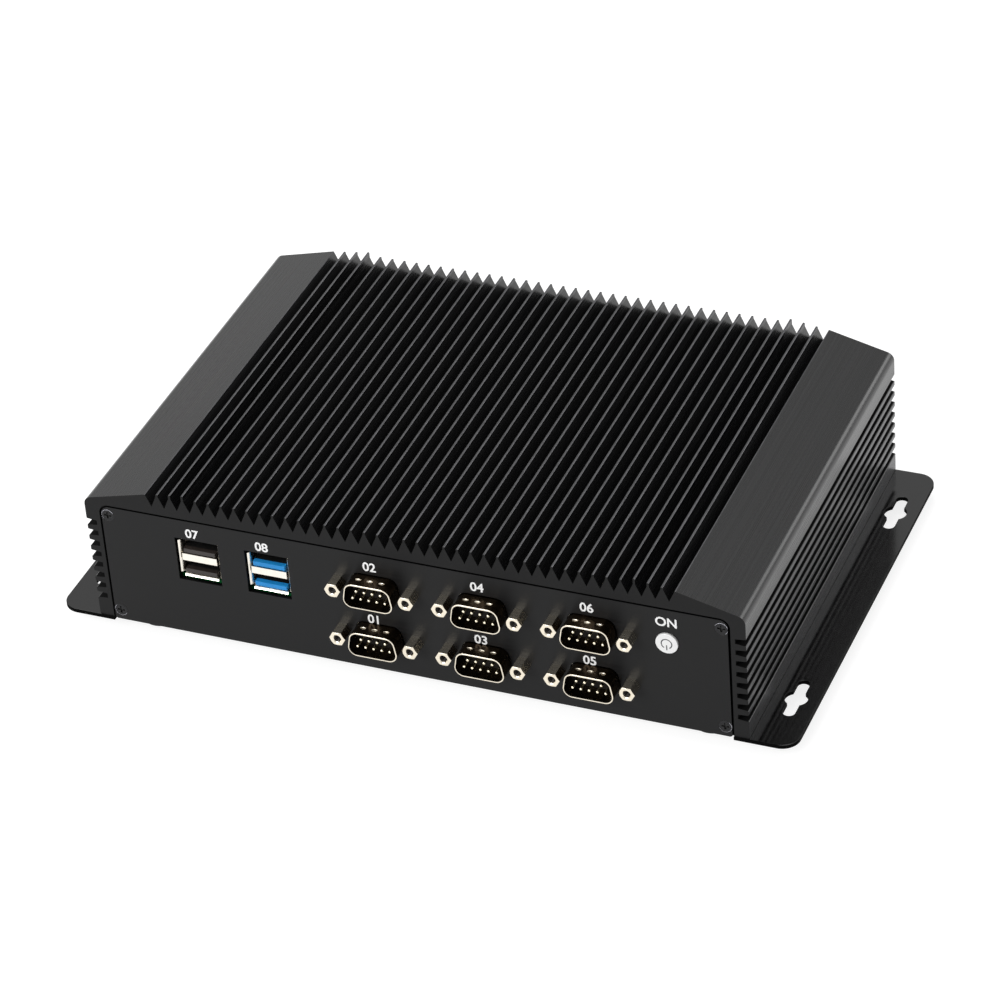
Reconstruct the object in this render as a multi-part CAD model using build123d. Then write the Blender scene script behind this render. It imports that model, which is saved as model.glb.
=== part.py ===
from build123d import *
import os
from math import cos, radians, sin, sqrt, tan

# Fanless industrial computer, in millimetres. +Z is up and the front panel looks towards -Y.
# The origin lies on the ground, in the middle of the footprint.
# Heights in the housing are counted from its open lower edge, and depths inwards from a panel's outer face.

# Housing: one extruded aluminium length, open below and at both ends
housing_width = 224.4
housing_depth = 151.4
fin_top = 52.85
fin_pitch = 4.5
fin_tip = 0.75
fin_flat = 0.85
groove_depth = 5.05
shoulder_width = 22.2
shoulder_edge = 46.4
shoulder_rise = 5.65
shoulder_corner = 3.0
crest_fins = 3
crest_rise = 1.95
lip_bottom = 38.5
foot_top = 6.5
side_groove_pitch = 4.18
side_groove_mouth = 2.7
side_groove_floor = 1.7
side_groove_depth = 3.6
side_wall = 3.4
roof_wall = 4.4
rail_width = 9.7
rail_height = 6.4
boss_radius = 3.2
cavity_corner = 1.5

# Front and rear panels, let into a milled step at each end of the housing
panel_thickness = 1.5
panel_seat_side = 1.8
panel_seat_top = 1.3
panel_gap = 0.35
panel_drop = 1.0
panel_corner = 3.3
panel_foot_corner = 1.0
panel_screw_inset = 2.7
panel_screw_inset_z = 3.75
panel_screw_radius = 1.25
panel_screw_head = 2.3
panel_screw_length = 9.0

# Base plate with its two flanges, and the feet under it
plate_width = 254.0
plate_depth = 152.0
plate_thickness = 1.5
plate_corner = 6.0
slot_inset_x = 7.5
slot_inset_y = 24.0
slot_length = 18.5
slot_width = 4.0
slot_lobe_radius = 3.75
foot_height = 4.5
foot_radius = 8.0
foot_taper = 0.9
foot_edge = 0.8
foot_inset_x = 31.0
foot_inset_y = 13.0
base_screw_pitch = 45.0
base_screw_rail_offset = 1.5
base_screw_radius = 1.5
base_screw_head = 2.8
base_screw_length = 7.0

# Clearances
thread_gap = 0.03
hole_gap = 0.2
port_gap = 0.25
slide_gap = 0.15

# Mainboard on its pillars
board_width = 184.0
board_thickness = 1.6
board_notch_x = -33.0
board_notch_depth = 25.0
board_end_gap = 1.3
pillar_height = 19.5
pillar_flats = 5.5
pillar_shank_radius = 2.1
pillar_inset_x = 8.0
pillar_inset_y = 7.0
pillar_notch_inset = 4.0
board_screw_radius = 1.5
board_screw_head_radius = 2.7
board_screw_head = 2.0
board_screw_length = 6.0

# Serial ports: nine-way plugs in three columns of two
serial_first_x = -11.6
serial_column_pitch = 36.55
serial_columns = 3
serial_row_heights = (12.6, 31.7)
plug_width = 17.05
plug_height = 8.3
plug_corner = 2.6
plug_lean = 10.0
plug_wall = 0.48
plug_edge = 0.2
plug_reach = 6.2
plug_flange_width = 30.8
plug_flange_height = 12.5
plug_flange_thickness = 1.0
plug_flange_corner = 1.0
plug_body_width = 18.6
plug_body_height = 10.2
plug_body_depth = 9.5
plug_face_depth = 0.3
pin_pitch = 2.77
pin_row_pitch = 2.84
pin_radius = 0.5
pin_shy = 0.9
jackscrew_pitch = 25.0
jackscrew_flats = 4.75
jackscrew_face_radius = 2.25
jackscrew_face_lean = 30.0
jackscrew_reach = 5.3
jackscrew_radius = 1.42
jackscrew_bore_radius = 1.25
jackscrew_bore_mouth = 0.3
jackscrew_bore_depth = 4.6
clinch_radius = 2.5
clinch_depth = 2.5
serial_board_margin = 2.2
serial_board_gap = 1.55

# Flat cable from the serial board to the mainboard
cable_width = 50.0
cable_thickness = 1.0
cable_bend = 4.0
cable_plug_height = 6.0
cable_plug_depth = 7.0
cable_plug_y = -42.0
cable_rise = 12.9

# Stacked USB ports: two at the front, two at the rear
usb_depth = 16.5
usb_wall = 0.3
usb_setback = 1.0
usb_stand = 1.2
usb_port_width = 12.5
usb_port_height = 5.25
usb_band = 2.6
usb_lip_radius = 1.8
usb_lip_turn = 60.0
usb_lip_inset = 0.3
usb_leg_depths = (5.0, 12.0)
usb_leg_length = 2.5
usb_sill_gap = 0.6
usb_tongue_width = 11.1
usb_tongue_thickness = 1.6
usb_tongue_lift = 0.3
usb_tongue_setback = 1.2
usb_tongue_length = 8.4
usb_front_x = (-73.4, -48.9)
usb_rear_x = (35.0, 52.0)

# Power button with the key switch behind it
button_x = 86.4
button_height = 31.7
button_radius = 3.7
button_proud = 0.6
button_flange_radius = 4.8
button_flange_thickness = 1.0
button_dome = 0.25
button_travel = 1.0
plunger_radius = 1.6
switch_body = 6.2
switch_body_depth = 3.6
switch_corner = 0.5
switch_floor = 0.8
switch_stand_off = 9.0
switch_pillar_spacing = 16.6
switch_pillar_flats = 4.5
switch_board_width = 11.0

# Processor, the block that takes its heat to the housing's roof, and the cards
processor_size = 25.0
processor_height = 1.3
pad_thickness = 1.0
block_width = 60.0
block_depth = 56.0
block_y = 8.0
block_pocket = 4.0
block_corner = 2.0
block_screw_inset = 6.0
block_screw_bite = 3.0
block_screw_head_radius = 2.75
block_screw_head = 3.0
memory_x = 81.0
memory_y = -2.0
memory_length = 67.6
memory_width = 30.0
memory_card = 1.0
memory_socket_width = 7.0
memory_socket_height = 5.2
memory_socket_ends = 3.0
storage_x = -60.0
storage_y = 18.0
storage_length = 51.0
storage_width = 30.0
storage_card = 1.0
storage_socket_length = 36.0
storage_socket_depth = 8.0
storage_socket_height = 6.2
card_lift = 2.6
card_bite = 3.0
cell_x = -61.0
cell_y = -32.0
cell_radius = 10.0
cell_height = 3.2
cell_holder_radius = 11.6
cell_holder_height = 4.4
cell_holder_floor = 1.0

# Ports at the rear, placed as seen from behind, counted to the right from the middle
port_setback = 0.5
power_jack_x = -75.0
power_jack_width = 9.6
power_jack_height = 11.0
power_jack_depth = 14.0
power_jack_bore = 3.2
power_jack_collar = 1.0
power_jack_floor = 2.0
power_jack_pin = 1.25
video_x = -52.0
video_pin_pitch = 2.29
video_row_pitch = 1.98
video_hole_radius = 0.5
video_extra_depth = 4.0
hdmi_x = -23.5
hdmi_width = 15.2
hdmi_height = 6.2
hdmi_depth = 11.5
hdmi_wall = 0.6
hdmi_corner = 1.4
hdmi_back = 2.0
hdmi_tongue_width = 11.2
hdmi_tongue_thickness = 1.0
lan_x = (-2.0, 16.5)
lan_width = 16.0
lan_height = 13.5
lan_depth = 21.0
lan_mouth_width = 11.8
lan_mouth_height = 8.2
lan_mouth_depth = 13.5
lan_latch_width = 6.2
lan_latch_height = 2.4
lan_wall = 1.3
audio_x = 70.0
audio_width = 11.6
audio_height = 11.0
audio_depth = 13.0
audio_collar_radius = 3.9
audio_bore_radius = 1.85

# Places that follow from the sizes above
housing_base = foot_height + plate_thickness
housing_half = housing_width / 2
panel_face = housing_depth / 2
panel_back = panel_face - panel_thickness
fins_half = housing_half - shoulder_width
fin_count = round(2 * fins_half / fin_pitch) - 1
groove_floor = fin_top - groove_depth
cavity_half = housing_half - side_groove_depth - side_wall
ceiling = groove_floor - roof_wall
panel_half = cavity_half + panel_seat_side
panel_top = ceiling + panel_seat_top
panel_screw_x = panel_half - panel_screw_inset
panel_screw_low = panel_screw_inset_z + panel_gap - panel_drop
panel_screw_high = panel_top - panel_screw_inset_z
base_screw_x = cavity_half - rail_width / 2 - base_screw_rail_offset
slot_across = plate_width - 2 * slot_inset_x
slot_along = plate_depth - 2 * slot_inset_y
foot_across = plate_width - 2 * foot_inset_x
foot_along = plate_depth - 2 * foot_inset_y
board_top = housing_base + pillar_height + board_thickness
board_half = board_width / 2
board_end = panel_back - board_end_gap
processor_top = board_top + processor_height
block_bottom = processor_top + pad_thickness
roof_z = housing_base + ceiling
usb_width = usb_port_width + 2 * usb_wall
usb_height = 2 * usb_port_height + usb_band + 2 * usb_wall
usb_middle = board_top + usb_stand + usb_height / 2
usb_lip_depth = usb_lip_radius * sin(radians(usb_lip_turn))
usb_lip_spread = usb_lip_radius - (usb_lip_radius - usb_wall) * cos(radians(usb_lip_turn)) - usb_wall


def part(shape, name):
    """Write one piece of the computer to its own file."""
    export_step(shape, f"parts/{name}.step")


def slab(sketch, start, end):
    """Sketch in X and Z made solid between two depths behind the front panel's outer face."""
    plane = Plane(origin=(0, end - panel_face, 0), x_dir=(1, 0, 0), z_dir=(0, -1, 0))
    return extrude(plane * sketch, amount=end - start)


def layer(sketch, bottom, top):
    """Sketch in X and Y made solid between two heights above the ground."""
    return extrude(Pos(0, 0, bottom) * sketch, amount=top - bottom)


def at_rear(shape):
    """A front piece turned round to the rear panel."""
    return Rot(0, 0, 180) * shape


def both_sides(x, heights):
    """Places at +x and -x for each of the heights, on an upright sketch."""
    return [Pos(side * x, height) for side in (-1, 1) for height in heights]


def corner_places(half_x, half_y):
    """The four corners of a rectangle round the middle."""
    return [(x, y) for x in (-half_x, half_x) for y in (-half_y, half_y)]


def hexagon(flats):
    return RegularPolygon(flats / sqrt(3), 6)


def cross_recess(radius, depth, face):
    """Cross slot for a screwdriver, sunk from a face at the given height."""
    arm = Box(2 * radius, radius / 2, depth, align=(Align.CENTER, Align.CENTER, Align.MAX))
    return Pos(0, 0, face) * (arm + Rot(0, 0, 90) * arm)


def flat_head_screw(radius, head_radius, length):
    """Countersunk screw that points down, with its head's face at height 0."""
    head_height = head_radius - radius
    head = Cone(radius, head_radius, head_height, align=(Align.CENTER, Align.CENTER, Align.MAX))
    shank = Cylinder(radius, length, align=(Align.CENTER, Align.CENTER, Align.MAX))
    return head + shank - cross_recess(0.55 * head_radius, 0.6 * head_height, 0)


def round_head_screw(radius, head_radius, head_height, length):
    """Pan-head screw that points down, with its head standing on height 0."""
    head = Cylinder(head_radius, head_height, align=(Align.CENTER, Align.CENTER, Align.MIN))
    head = fillet(head.edges().group_by(Axis.Z)[-1], 0.4 * head_height)
    shank = Cylinder(radius, length, align=(Align.CENTER, Align.CENTER, Align.MAX))
    return head + shank - cross_recess(0.55 * head_radius, 0.6 * head_height, head_height)


# Housing

def housing_outline():
    """Outer section with no grooves: upright sides, sloping shoulders and a crest beside each."""
    crest_end = fins_half - crest_fins * fin_pitch
    crest_step = crest_end - fin_pitch / 2
    shoulder_top = shoulder_edge + shoulder_rise
    crest_top = shoulder_top + crest_rise
    right = [
        (housing_half, 0),
        (housing_half, shoulder_edge),
        (fins_half, shoulder_top),
        (crest_end, crest_top),
        (crest_step, crest_top),
        (crest_step, fin_top),
    ]
    left = [(-x, z) for x, z in reversed(right)]
    face = make_face(Polyline(*right, *left, close=True))
    edge_corners = [v for v in face.vertices() if abs(abs(v.X) - housing_half) < 0.01 and v.Y > 1]
    return fillet(edge_corners, shoulder_corner)


def top_groove():
    """One pointed groove between two fins, open upwards."""
    half_mouth = (fin_pitch - fin_tip) / 2
    straight = fin_top - fin_flat
    above = fin_top + crest_rise + shoulder_rise
    points = [
        (0, groove_floor),
        (half_mouth, straight),
        (half_mouth, above),
        (-half_mouth, above),
        (-half_mouth, straight),
    ]
    return make_face(Polyline(*points, close=True))


def side_groove():
    """One groove of the right side, wider at its mouth, its middle at height 0."""
    floor_x = housing_half - side_groove_depth
    mouth_x = housing_half + 1
    points = [
        (floor_x, -side_groove_floor / 2),
        (mouth_x, -side_groove_mouth / 2),
        (mouth_x, side_groove_mouth / 2),
        (floor_x, side_groove_floor / 2),
    ]
    return make_face(Polyline(*points, close=True))


def side_groove_heights():
    first = lip_bottom - side_groove_mouth / 2
    count = int((first - side_groove_mouth / 2 - foot_top) / side_groove_pitch + 1.001)
    return [first - i * side_groove_pitch for i in range(count)]


def housing_section():
    """The whole section of the extrusion, with its grooves, screw channels and rails."""
    section = housing_outline()
    groove = top_groove()
    first_groove = -fin_count / 2 * fin_pitch
    section -= [Pos(first_groove + i * fin_pitch, 0) * groove for i in range(fin_count + 1)]
    right_groove = side_groove()
    left_groove = mirror(right_groove, Plane.YZ)
    section -= [Pos(0, z) * right_groove for z in side_groove_heights()]
    section -= [Pos(0, z) * left_groove for z in side_groove_heights()]
    hollow = Pos(0, ceiling / 2) * RectangleRounded(2 * cavity_half, ceiling, cavity_corner)
    hollow += Pos(0, ceiling / 4) * Rectangle(2 * cavity_half, ceiling / 2)
    rail_x = cavity_half - rail_width / 2
    hollow -= [Pos(side * rail_x, rail_height / 2) * Rectangle(rail_width, rail_height) for side in (-1, 1)]
    screw_places = both_sides(panel_screw_x, (panel_screw_low, panel_screw_high))
    hollow -= [place * Circle(boss_radius) for place in screw_places]
    section -= hollow
    section -= [place * Circle(panel_screw_radius) for place in screw_places]
    return section


def panel_outline(gap):
    """Face of a panel, made smaller all round by the gap."""
    top = panel_top - gap
    bottom = gap - panel_drop
    face = Pos(0, (top + bottom) / 2) * Rectangle(2 * (panel_half - gap), top - bottom)
    face = fillet(face.vertices().group_by(Axis.Y)[-1], panel_corner)
    return fillet(face.vertices().group_by(Axis.Y)[0], panel_foot_corner)


def make_housing():
    rise = Pos(0, housing_base)
    body = slab(rise * housing_section(), 0, housing_depth)
    step = slab(rise * panel_outline(0), 0, panel_thickness)
    body -= step
    body -= at_rear(step)
    for x, y in base_screw_places():
        body -= Pos(x, y, housing_base) * Cylinder(base_screw_radius, 2 * rail_height)
    for x, y in block_screw_places():
        body -= layer(Pos(x, y) * Circle(base_screw_radius), roof_z, roof_z + block_screw_bite + hole_gap)
    return body


# Panels and base plate

def base_screw_places():
    return [(side * base_screw_x, i * base_screw_pitch) for side in (-1, 1) for i in (-1, 0, 1)]


def block_screw_places():
    half_x = block_width / 2 - block_screw_inset
    half_y = block_depth / 2 - block_screw_inset
    return [(x, block_y + y) for x, y in corner_places(half_x, half_y)]


def pillar_places():
    """Six pillars: the board's corners, the notch's inner corner and the middle of its front edge."""
    right = board_half - pillar_inset_x
    rear = board_end - pillar_inset_y
    notch_y = board_notch_depth - board_end
    middle_y = notch_y + pillar_notch_inset
    return [
        (-right, rear),
        (right, rear),
        (-right, -rear),
        (board_notch_x - pillar_notch_inset, -rear),
        (serial_first_x + pillar_notch_inset, middle_y),
        (right, middle_y),
    ]


def blank_panel():
    """Panel with its four countersunk screw holes."""
    rise = Pos(0, housing_base)
    panel = slab(rise * panel_outline(panel_gap), 0, panel_thickness)
    for place in both_sides(panel_screw_x, (panel_screw_low, panel_screw_high)):
        panel -= slab(rise * place * Circle(panel_screw_radius + hole_gap), 0, panel_thickness)
    for x, z in panel_screw_places():
        sink = Cone(panel_screw_radius, panel_screw_head, panel_screw_head - panel_screw_radius,
                    align=(Align.CENTER, Align.CENTER, Align.MAX))
        panel -= Pos(x, -panel_face, z) * Rot(90, 0, 0) * sink
    return panel


def panel_screw_places():
    heights = (housing_base + panel_screw_low, housing_base + panel_screw_high)
    return [(side * panel_screw_x, z) for side in (-1, 1) for z in heights]


def serial_places():
    """Middle of each serial port, the lower one of each column first, from the left column."""
    columns = [serial_first_x + i * serial_column_pitch for i in range(serial_columns)]
    return [(x, housing_base + z) for x in columns for z in serial_row_heights]


def usb_outline(growth):
    return Pos(0, usb_middle) * Rectangle(usb_width + 2 * growth, usb_height + 2 * growth)


def usb_opening():
    """Opening of a panel round the flared lips of a USB stack, deeper below."""
    opening = usb_outline(usb_lip_spread + port_gap)
    return opening + Pos(0, -usb_sill_gap) * opening


def make_front_panel():
    panel = blank_panel()
    for x, z in serial_places():
        panel -= slab(Pos(x, z) * plug_outline(plug_wall + port_gap), 0, panel_thickness)
        for side in (-1, 1):
            hole = Pos(x + side * jackscrew_pitch / 2, z) * Circle(jackscrew_radius + hole_gap)
            panel -= slab(hole, 0, panel_thickness)
    for x in usb_front_x:
        panel -= slab(Pos(x, 0) * usb_opening(), 0, panel_thickness)
    button_hole = Pos(button_x, housing_base + button_height) * Circle(button_radius + slide_gap)
    return panel - slab(button_hole, 0, panel_thickness)


def make_rear_panel():
    panel = blank_panel()
    video_z = video_height()
    openings = [
        Pos(power_jack_x, board_top + power_jack_height / 2) * Circle(power_jack_bore + power_jack_collar),
        Pos(video_x, video_z) * plug_outline(plug_wall + port_gap),
        Pos(video_x - jackscrew_pitch / 2, video_z) * Circle(jackscrew_radius + hole_gap),
        Pos(video_x + jackscrew_pitch / 2, video_z) * Circle(jackscrew_radius + hole_gap),
        Pos(audio_x, board_top + audio_height / 2) * Circle(audio_collar_radius + port_gap),
        Pos(hdmi_x, 0) * port_outline(hdmi_width, hdmi_height, port_gap),
    ]
    openings += [Pos(x, 0) * port_outline(lan_width, lan_height, port_gap) for x in lan_x]
    openings += [Pos(x, 0) * usb_opening() for x in usb_rear_x]
    for opening in openings:
        panel -= slab(opening, 0, panel_thickness)
    return at_rear(panel)


def make_base_plate():
    sheet = RectangleRounded(plate_width, plate_depth, plate_corner)
    edge_y = panel_back - panel_gap
    notch = Rectangle(2 * panel_half, plate_depth)
    for side in (-1, 1):
        sheet -= Pos(0, side * (edge_y + plate_depth / 2)) * notch
    slot = SlotOverall(slot_length, slot_width, rotation=90) + Circle(slot_lobe_radius)
    sheet -= [Pos(x, y) * slot for x, y in corner_places(slot_across / 2, slot_along / 2)]
    sheet -= [Pos(x, y) * Circle(base_screw_radius + hole_gap) for x, y in base_screw_places()]
    sheet -= [Pos(x, y) * Circle(pillar_shank_radius + slide_gap / 3) for x, y in pillar_places()]
    plate = layer(sheet, foot_height, housing_base)
    for x, y in base_screw_places():
        sink = Cone(base_screw_head, base_screw_radius, base_screw_head - base_screw_radius,
                    align=(Align.CENTER, Align.CENTER, Align.MIN))
        plate -= Pos(x, y, foot_height) * sink
    return plate


def make_rubber_foot():
    """Moulded foot, narrower and rounded below."""
    foot = Cone(foot_radius - foot_taper, foot_radius, foot_height)
    foot = fillet(foot.edges().group_by(Axis.Z)[0], foot_edge)
    return Pos(0, 0, foot_height / 2) * foot


def make_panel_screws():
    head = panel_screw_head - thread_gap
    screw = flat_head_screw(panel_screw_radius - thread_gap, head, panel_screw_length)
    front = [Pos(x, -panel_face, z) * Rot(90, 0, 0) * screw for x, z in panel_screw_places()]
    return Compound(front + [at_rear(screw_at_front) for screw_at_front in front])


def make_base_screws():
    screw = flat_head_screw(base_screw_radius - thread_gap, base_screw_head - thread_gap, base_screw_length)
    return Compound([Pos(x, y, foot_height) * Rot(180, 0, 0) * screw for x, y in base_screw_places()])


# Serial ports

def plug_outline(growth):
    """The D inside a nine-way plug's skirt, wide side down, grown all round."""
    half_height = plug_height / 2 + growth
    half_width = plug_width / 2 + growth
    lean = 2 * half_height * tan(radians(plug_lean))
    points = [
        (-half_width, -half_height),
        (half_width, -half_height),
        (half_width - lean, half_height),
        (lean - half_width, half_height),
    ]
    face = make_face(Polyline(*points, close=True))
    return fillet(face.vertices(), plug_corner + growth)


def make_plug_shell():
    """Pressed shell: skirt through the panel, flange behind it and a clinch nut at each end."""
    flange_back = panel_thickness + plug_flange_thickness
    skirt = slab(plug_outline(plug_wall), -plug_reach, flange_back)
    skirt = fillet(skirt.faces().sort_by(Axis.Y)[0].edges(), plug_edge)
    flange = RectangleRounded(plug_flange_width, plug_flange_height, plug_flange_corner)
    shell = skirt + slab(flange, panel_thickness, flange_back)
    shell -= slab(plug_outline(0), -plug_reach, flange_back)
    for side in (-1, 1):
        middle = Pos(side * jackscrew_pitch / 2, 0)
        shell += slab(middle * Circle(clinch_radius), flange_back, flange_back + clinch_depth)
        shell -= slab(middle * Circle(jackscrew_radius), panel_thickness, flange_back + clinch_depth)
    return shell


def pin_places():
    """Five pins in the wide row, four in the other."""
    low = [((i - 2) * pin_pitch, -pin_row_pitch / 2) for i in range(5)]
    high = [((i - 1.5) * pin_pitch, pin_row_pitch / 2) for i in range(4)]
    return low + high


def make_plug_core():
    """Insulator with its nine pins standing in the skirt."""
    flange_back = panel_thickness + plug_flange_thickness
    core = slab(plug_outline(-thread_gap), plug_face_depth, flange_back)
    core += slab(Rectangle(plug_body_width, plug_body_height), flange_back, plug_body_depth)
    for x, z in pin_places():
        core += slab(Pos(x, z) * Circle(pin_radius), pin_shy - plug_reach, plug_face_depth)
    return core


def make_jackscrew():
    """Hexagonal jackscrew, threaded inside, its shank through the panel into the clinch nut."""
    shank_end = panel_thickness + plug_flange_thickness + clinch_depth
    wide_radius = jackscrew_face_radius + jackscrew_reach / tan(radians(jackscrew_face_lean))
    turned = Cone(wide_radius, jackscrew_face_radius, jackscrew_reach)
    face_middle = -panel_face - jackscrew_reach
    turned = Pos(0, face_middle + jackscrew_reach / 2, 0) * Rot(90, 0, 0) * turned
    screw = slab(hexagon(jackscrew_flats), -jackscrew_reach, 0) & turned
    screw += slab(Circle(jackscrew_radius - thread_gap), 0, shank_end)
    bore_end = jackscrew_bore_depth - jackscrew_reach
    screw -= slab(Circle(jackscrew_bore_radius), -jackscrew_reach, bore_end)
    mouth_edge = screw.faces().sort_by(Axis.Y)[0].inner_wires()[0].edges()
    return chamfer(mouth_edge, jackscrew_bore_mouth)


def make_jackscrews():
    screw = make_jackscrew()
    half = jackscrew_pitch / 2
    places = [(x + side * half, z) for x, z in serial_places() for side in (-1, 1)]
    screws = [Pos(x, 0, z) * screw for x, z in places]
    screws += [at_rear(Pos(video_x + side * half, 0, video_height()) * screw) for side in (-1, 1)]
    return Compound(screws)


def make_serial_board():
    """Upright board that the six plugs are soldered to, as wide as the switch board beside it allows."""
    middle_x = serial_first_x + (serial_columns - 1) / 2 * serial_column_pitch
    low = housing_base + serial_row_heights[0] - plug_flange_height / 2 - serial_board_margin
    high = housing_base + serial_row_heights[-1] + plug_flange_height / 2 + serial_board_margin
    half_width = button_x - switch_board_width / 2 - serial_board_gap - middle_x
    sheet = Pos(middle_x, (low + high) / 2) * Rectangle(2 * half_width, high - low)
    return slab(sheet, plug_body_depth, plug_body_depth + board_thickness)


def make_serial_cable():
    """Flat cable with a plug on each board, bent once."""
    middle_x = serial_first_x + (serial_columns - 1) / 2 * serial_column_pitch
    start_y = plug_body_depth + board_thickness - panel_face
    cable_z = board_top + cable_rise
    upright = Plane(origin=(middle_x, 0, 0), x_dir=(0, 1, 0), z_dir=(1, 0, 0))
    corner_y = cable_plug_y
    path = FilletPolyline((start_y + cable_plug_depth / 2, cable_z), (corner_y, cable_z),
                          (corner_y, board_top + cable_plug_depth / 2), radius=cable_bend)
    strip = extrude(upright * make_strip(path), amount=cable_width / 2, both=True)
    board_plug = Rectangle(cable_plug_height, cable_plug_depth)
    wall_plug = Rectangle(cable_plug_depth, cable_plug_height)
    strip += extrude(upright * Pos(corner_y, board_top + cable_plug_depth / 2) * board_plug,
                     amount=cable_width / 2, both=True)
    strip += extrude(upright * Pos(start_y + cable_plug_depth / 2, cable_z) * wall_plug,
                     amount=cable_width / 2, both=True)
    return strip


def make_strip(path):
    """Even band along a path."""
    outer = offset(path, cable_thickness / 2, side=Side.LEFT)
    inner = offset(path, cable_thickness / 2, side=Side.RIGHT)
    return make_face(outer.edges() + inner.edges())


# USB stacks

def usb_ports():
    """Height of the lower edge of each port of a stack."""
    low = board_top + usb_stand + usb_wall
    return (low, low + usb_port_height + usb_band)


def usb_lip(reach, length):
    """Lip of a shell that curls outwards, the given distance below the middle of what it surrounds."""
    turning_point = (usb_lip_depth, -reach - usb_lip_radius)
    inside = CenterArc(turning_point, usb_lip_radius, 90, usb_lip_turn)
    outside = CenterArc(turning_point, usb_lip_radius - usb_wall, 90, usb_lip_turn)
    ends = [Line(inside @ 0, outside @ 0), Line(inside @ 1, outside @ 1)]
    upright = Plane(origin=(0, usb_setback - panel_face, 0), x_dir=(0, 1, 0), z_dir=(1, 0, 0))
    return extrude(upright * make_face([inside, outside, *ends]), amount=length / 2, both=True)


def make_usb_shell(side_lips):
    """Folded shell of two ports one above the other, its edges curled outwards, its sides split by a band.

    Each side lip is given by its height above the shell's middle and its length.
    """
    start = usb_setback + usb_lip_depth
    end = usb_setback + usb_depth
    shell = slab(usb_outline(0) - usb_outline(-usb_wall), start, end)
    low, high = usb_ports()
    band_middle = Pos(0, low + usb_port_height + usb_band / 2)
    band_width = usb_port_width - usb_lip_inset
    shell += slab(band_middle * Rectangle(band_width, usb_band), usb_setback, usb_setback + usb_wall)
    for z in (low + usb_port_height, high - usb_wall):
        shelf = Pos(0, z + usb_wall / 2)
        shell += slab(shelf * Rectangle(band_width, usb_wall), usb_setback, usb_setback + usb_tongue_length)
        shell += slab(shelf * Rectangle(usb_width - usb_wall, usb_wall), start + usb_wall,
                      usb_setback + usb_tongue_length)
    middle = Pos(0, 0, usb_middle)
    for turn in (0, 180):
        length = usb_port_width - 2 * usb_lip_inset
        shell += middle * Rot(0, turn, 0) * usb_lip(usb_height / 2 - usb_wall, length)
    for turn in (-90, 90):
        for rise, length in side_lips:
            shell += Pos(0, 0, rise) * middle * Rot(0, turn, 0) * usb_lip(usb_port_width / 2, length)
    for side in (-1, 1):
        leg = Pos(side * (usb_width - usb_wall) / 2, board_top + usb_stand / 2 + usb_wall / 2)
        for leg_start in usb_leg_depths:
            shell += slab(leg * Rectangle(usb_wall, usb_stand + usb_wall), leg_start, leg_start + usb_leg_length)
    return shell


def make_usb_core():
    """Insulator that closes the shell behind and carries a tongue in each port."""
    block_front = usb_setback + usb_tongue_length + port_gap
    core = slab(usb_outline(-usb_wall - thread_gap), block_front, usb_setback + usb_depth)
    for z in usb_ports():
        tongue = Pos(0, z + usb_tongue_lift + usb_tongue_thickness / 2)
        core += slab(tongue * Rectangle(usb_tongue_width, usb_tongue_thickness), usb_tongue_setback, block_front)
    return core


# Power button

def make_power_button():
    """Cap with a slightly domed face and a flange that keeps it behind the panel."""
    middle = Pos(button_x, housing_base + button_height)
    flange_front = plunger_start() - button_flange_thickness
    cap = slab(middle * Circle(button_radius), -button_proud, flange_front)
    cap = fillet(cap.edges().group_by(Axis.Y)[0], button_dome)
    return cap + slab(middle * Circle(button_flange_radius), flange_front, plunger_start())


def plunger_start():
    return panel_thickness + slide_gap + button_flange_thickness


def switch_depth():
    """Depth of the key switch's front behind the front panel's outer face."""
    return panel_thickness + switch_stand_off - switch_body_depth


def make_switch_plunger():
    middle = Pos(button_x, housing_base + button_height)
    end = switch_depth() + switch_body_depth - switch_floor - button_travel - slide_gap
    return slab(middle * Circle(plunger_radius), plunger_start(), end)


def make_key_switch():
    middle = Pos(button_x, housing_base + button_height)
    front = switch_depth()
    body = slab(middle * RectangleRounded(switch_body, switch_body, switch_corner), front, front + switch_body_depth)
    bore = middle * Circle(plunger_radius + slide_gap)
    return body - slab(bore, front, front + switch_body_depth - switch_floor)


def switch_screw_heights():
    middle = housing_base + button_height
    return (middle - switch_pillar_spacing / 2, middle + switch_pillar_spacing / 2)


def make_switch_board():
    front = panel_thickness + switch_stand_off
    height = switch_pillar_spacing + 2 * board_screw_head_radius + hole_gap
    board = Pos(button_x, housing_base + button_height) * Rectangle(switch_board_width, height)
    board -= [Pos(button_x, z) * Circle(board_screw_radius + hole_gap) for z in switch_screw_heights()]
    return slab(board, front, front + board_thickness)


def make_switch_pillars():
    pillar = slab(hexagon(switch_pillar_flats) - Circle(board_screw_radius), panel_thickness,
                  panel_thickness + switch_stand_off)
    return Compound([Pos(button_x, 0, z) * pillar for z in switch_screw_heights()])


# Mainboard and what stands on it

def make_mainboard():
    """Board with a notch at the front right, where the serial board stands."""
    notch_width = board_half - board_notch_x
    sheet = Rectangle(board_width, 2 * board_end)
    sheet -= Pos(board_notch_x + notch_width / 2, board_notch_depth / 2 - board_end) * \
        Rectangle(notch_width, board_notch_depth)
    sheet -= [Pos(x, y) * Circle(board_screw_radius + hole_gap) for x, y in pillar_places()]
    return layer(sheet, board_top - board_thickness, board_top)


def make_mainboard_pillars():
    """Hexagonal pillars, each with a shank pressed into the base plate."""
    bore = Circle(board_screw_radius)
    pillar = layer(hexagon(pillar_flats) - bore, housing_base, board_top - board_thickness)
    pillar += layer(Circle(pillar_shank_radius) - bore, foot_height, housing_base)
    return Compound([Pos(x, y, 0) * pillar for x, y in pillar_places()])


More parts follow.
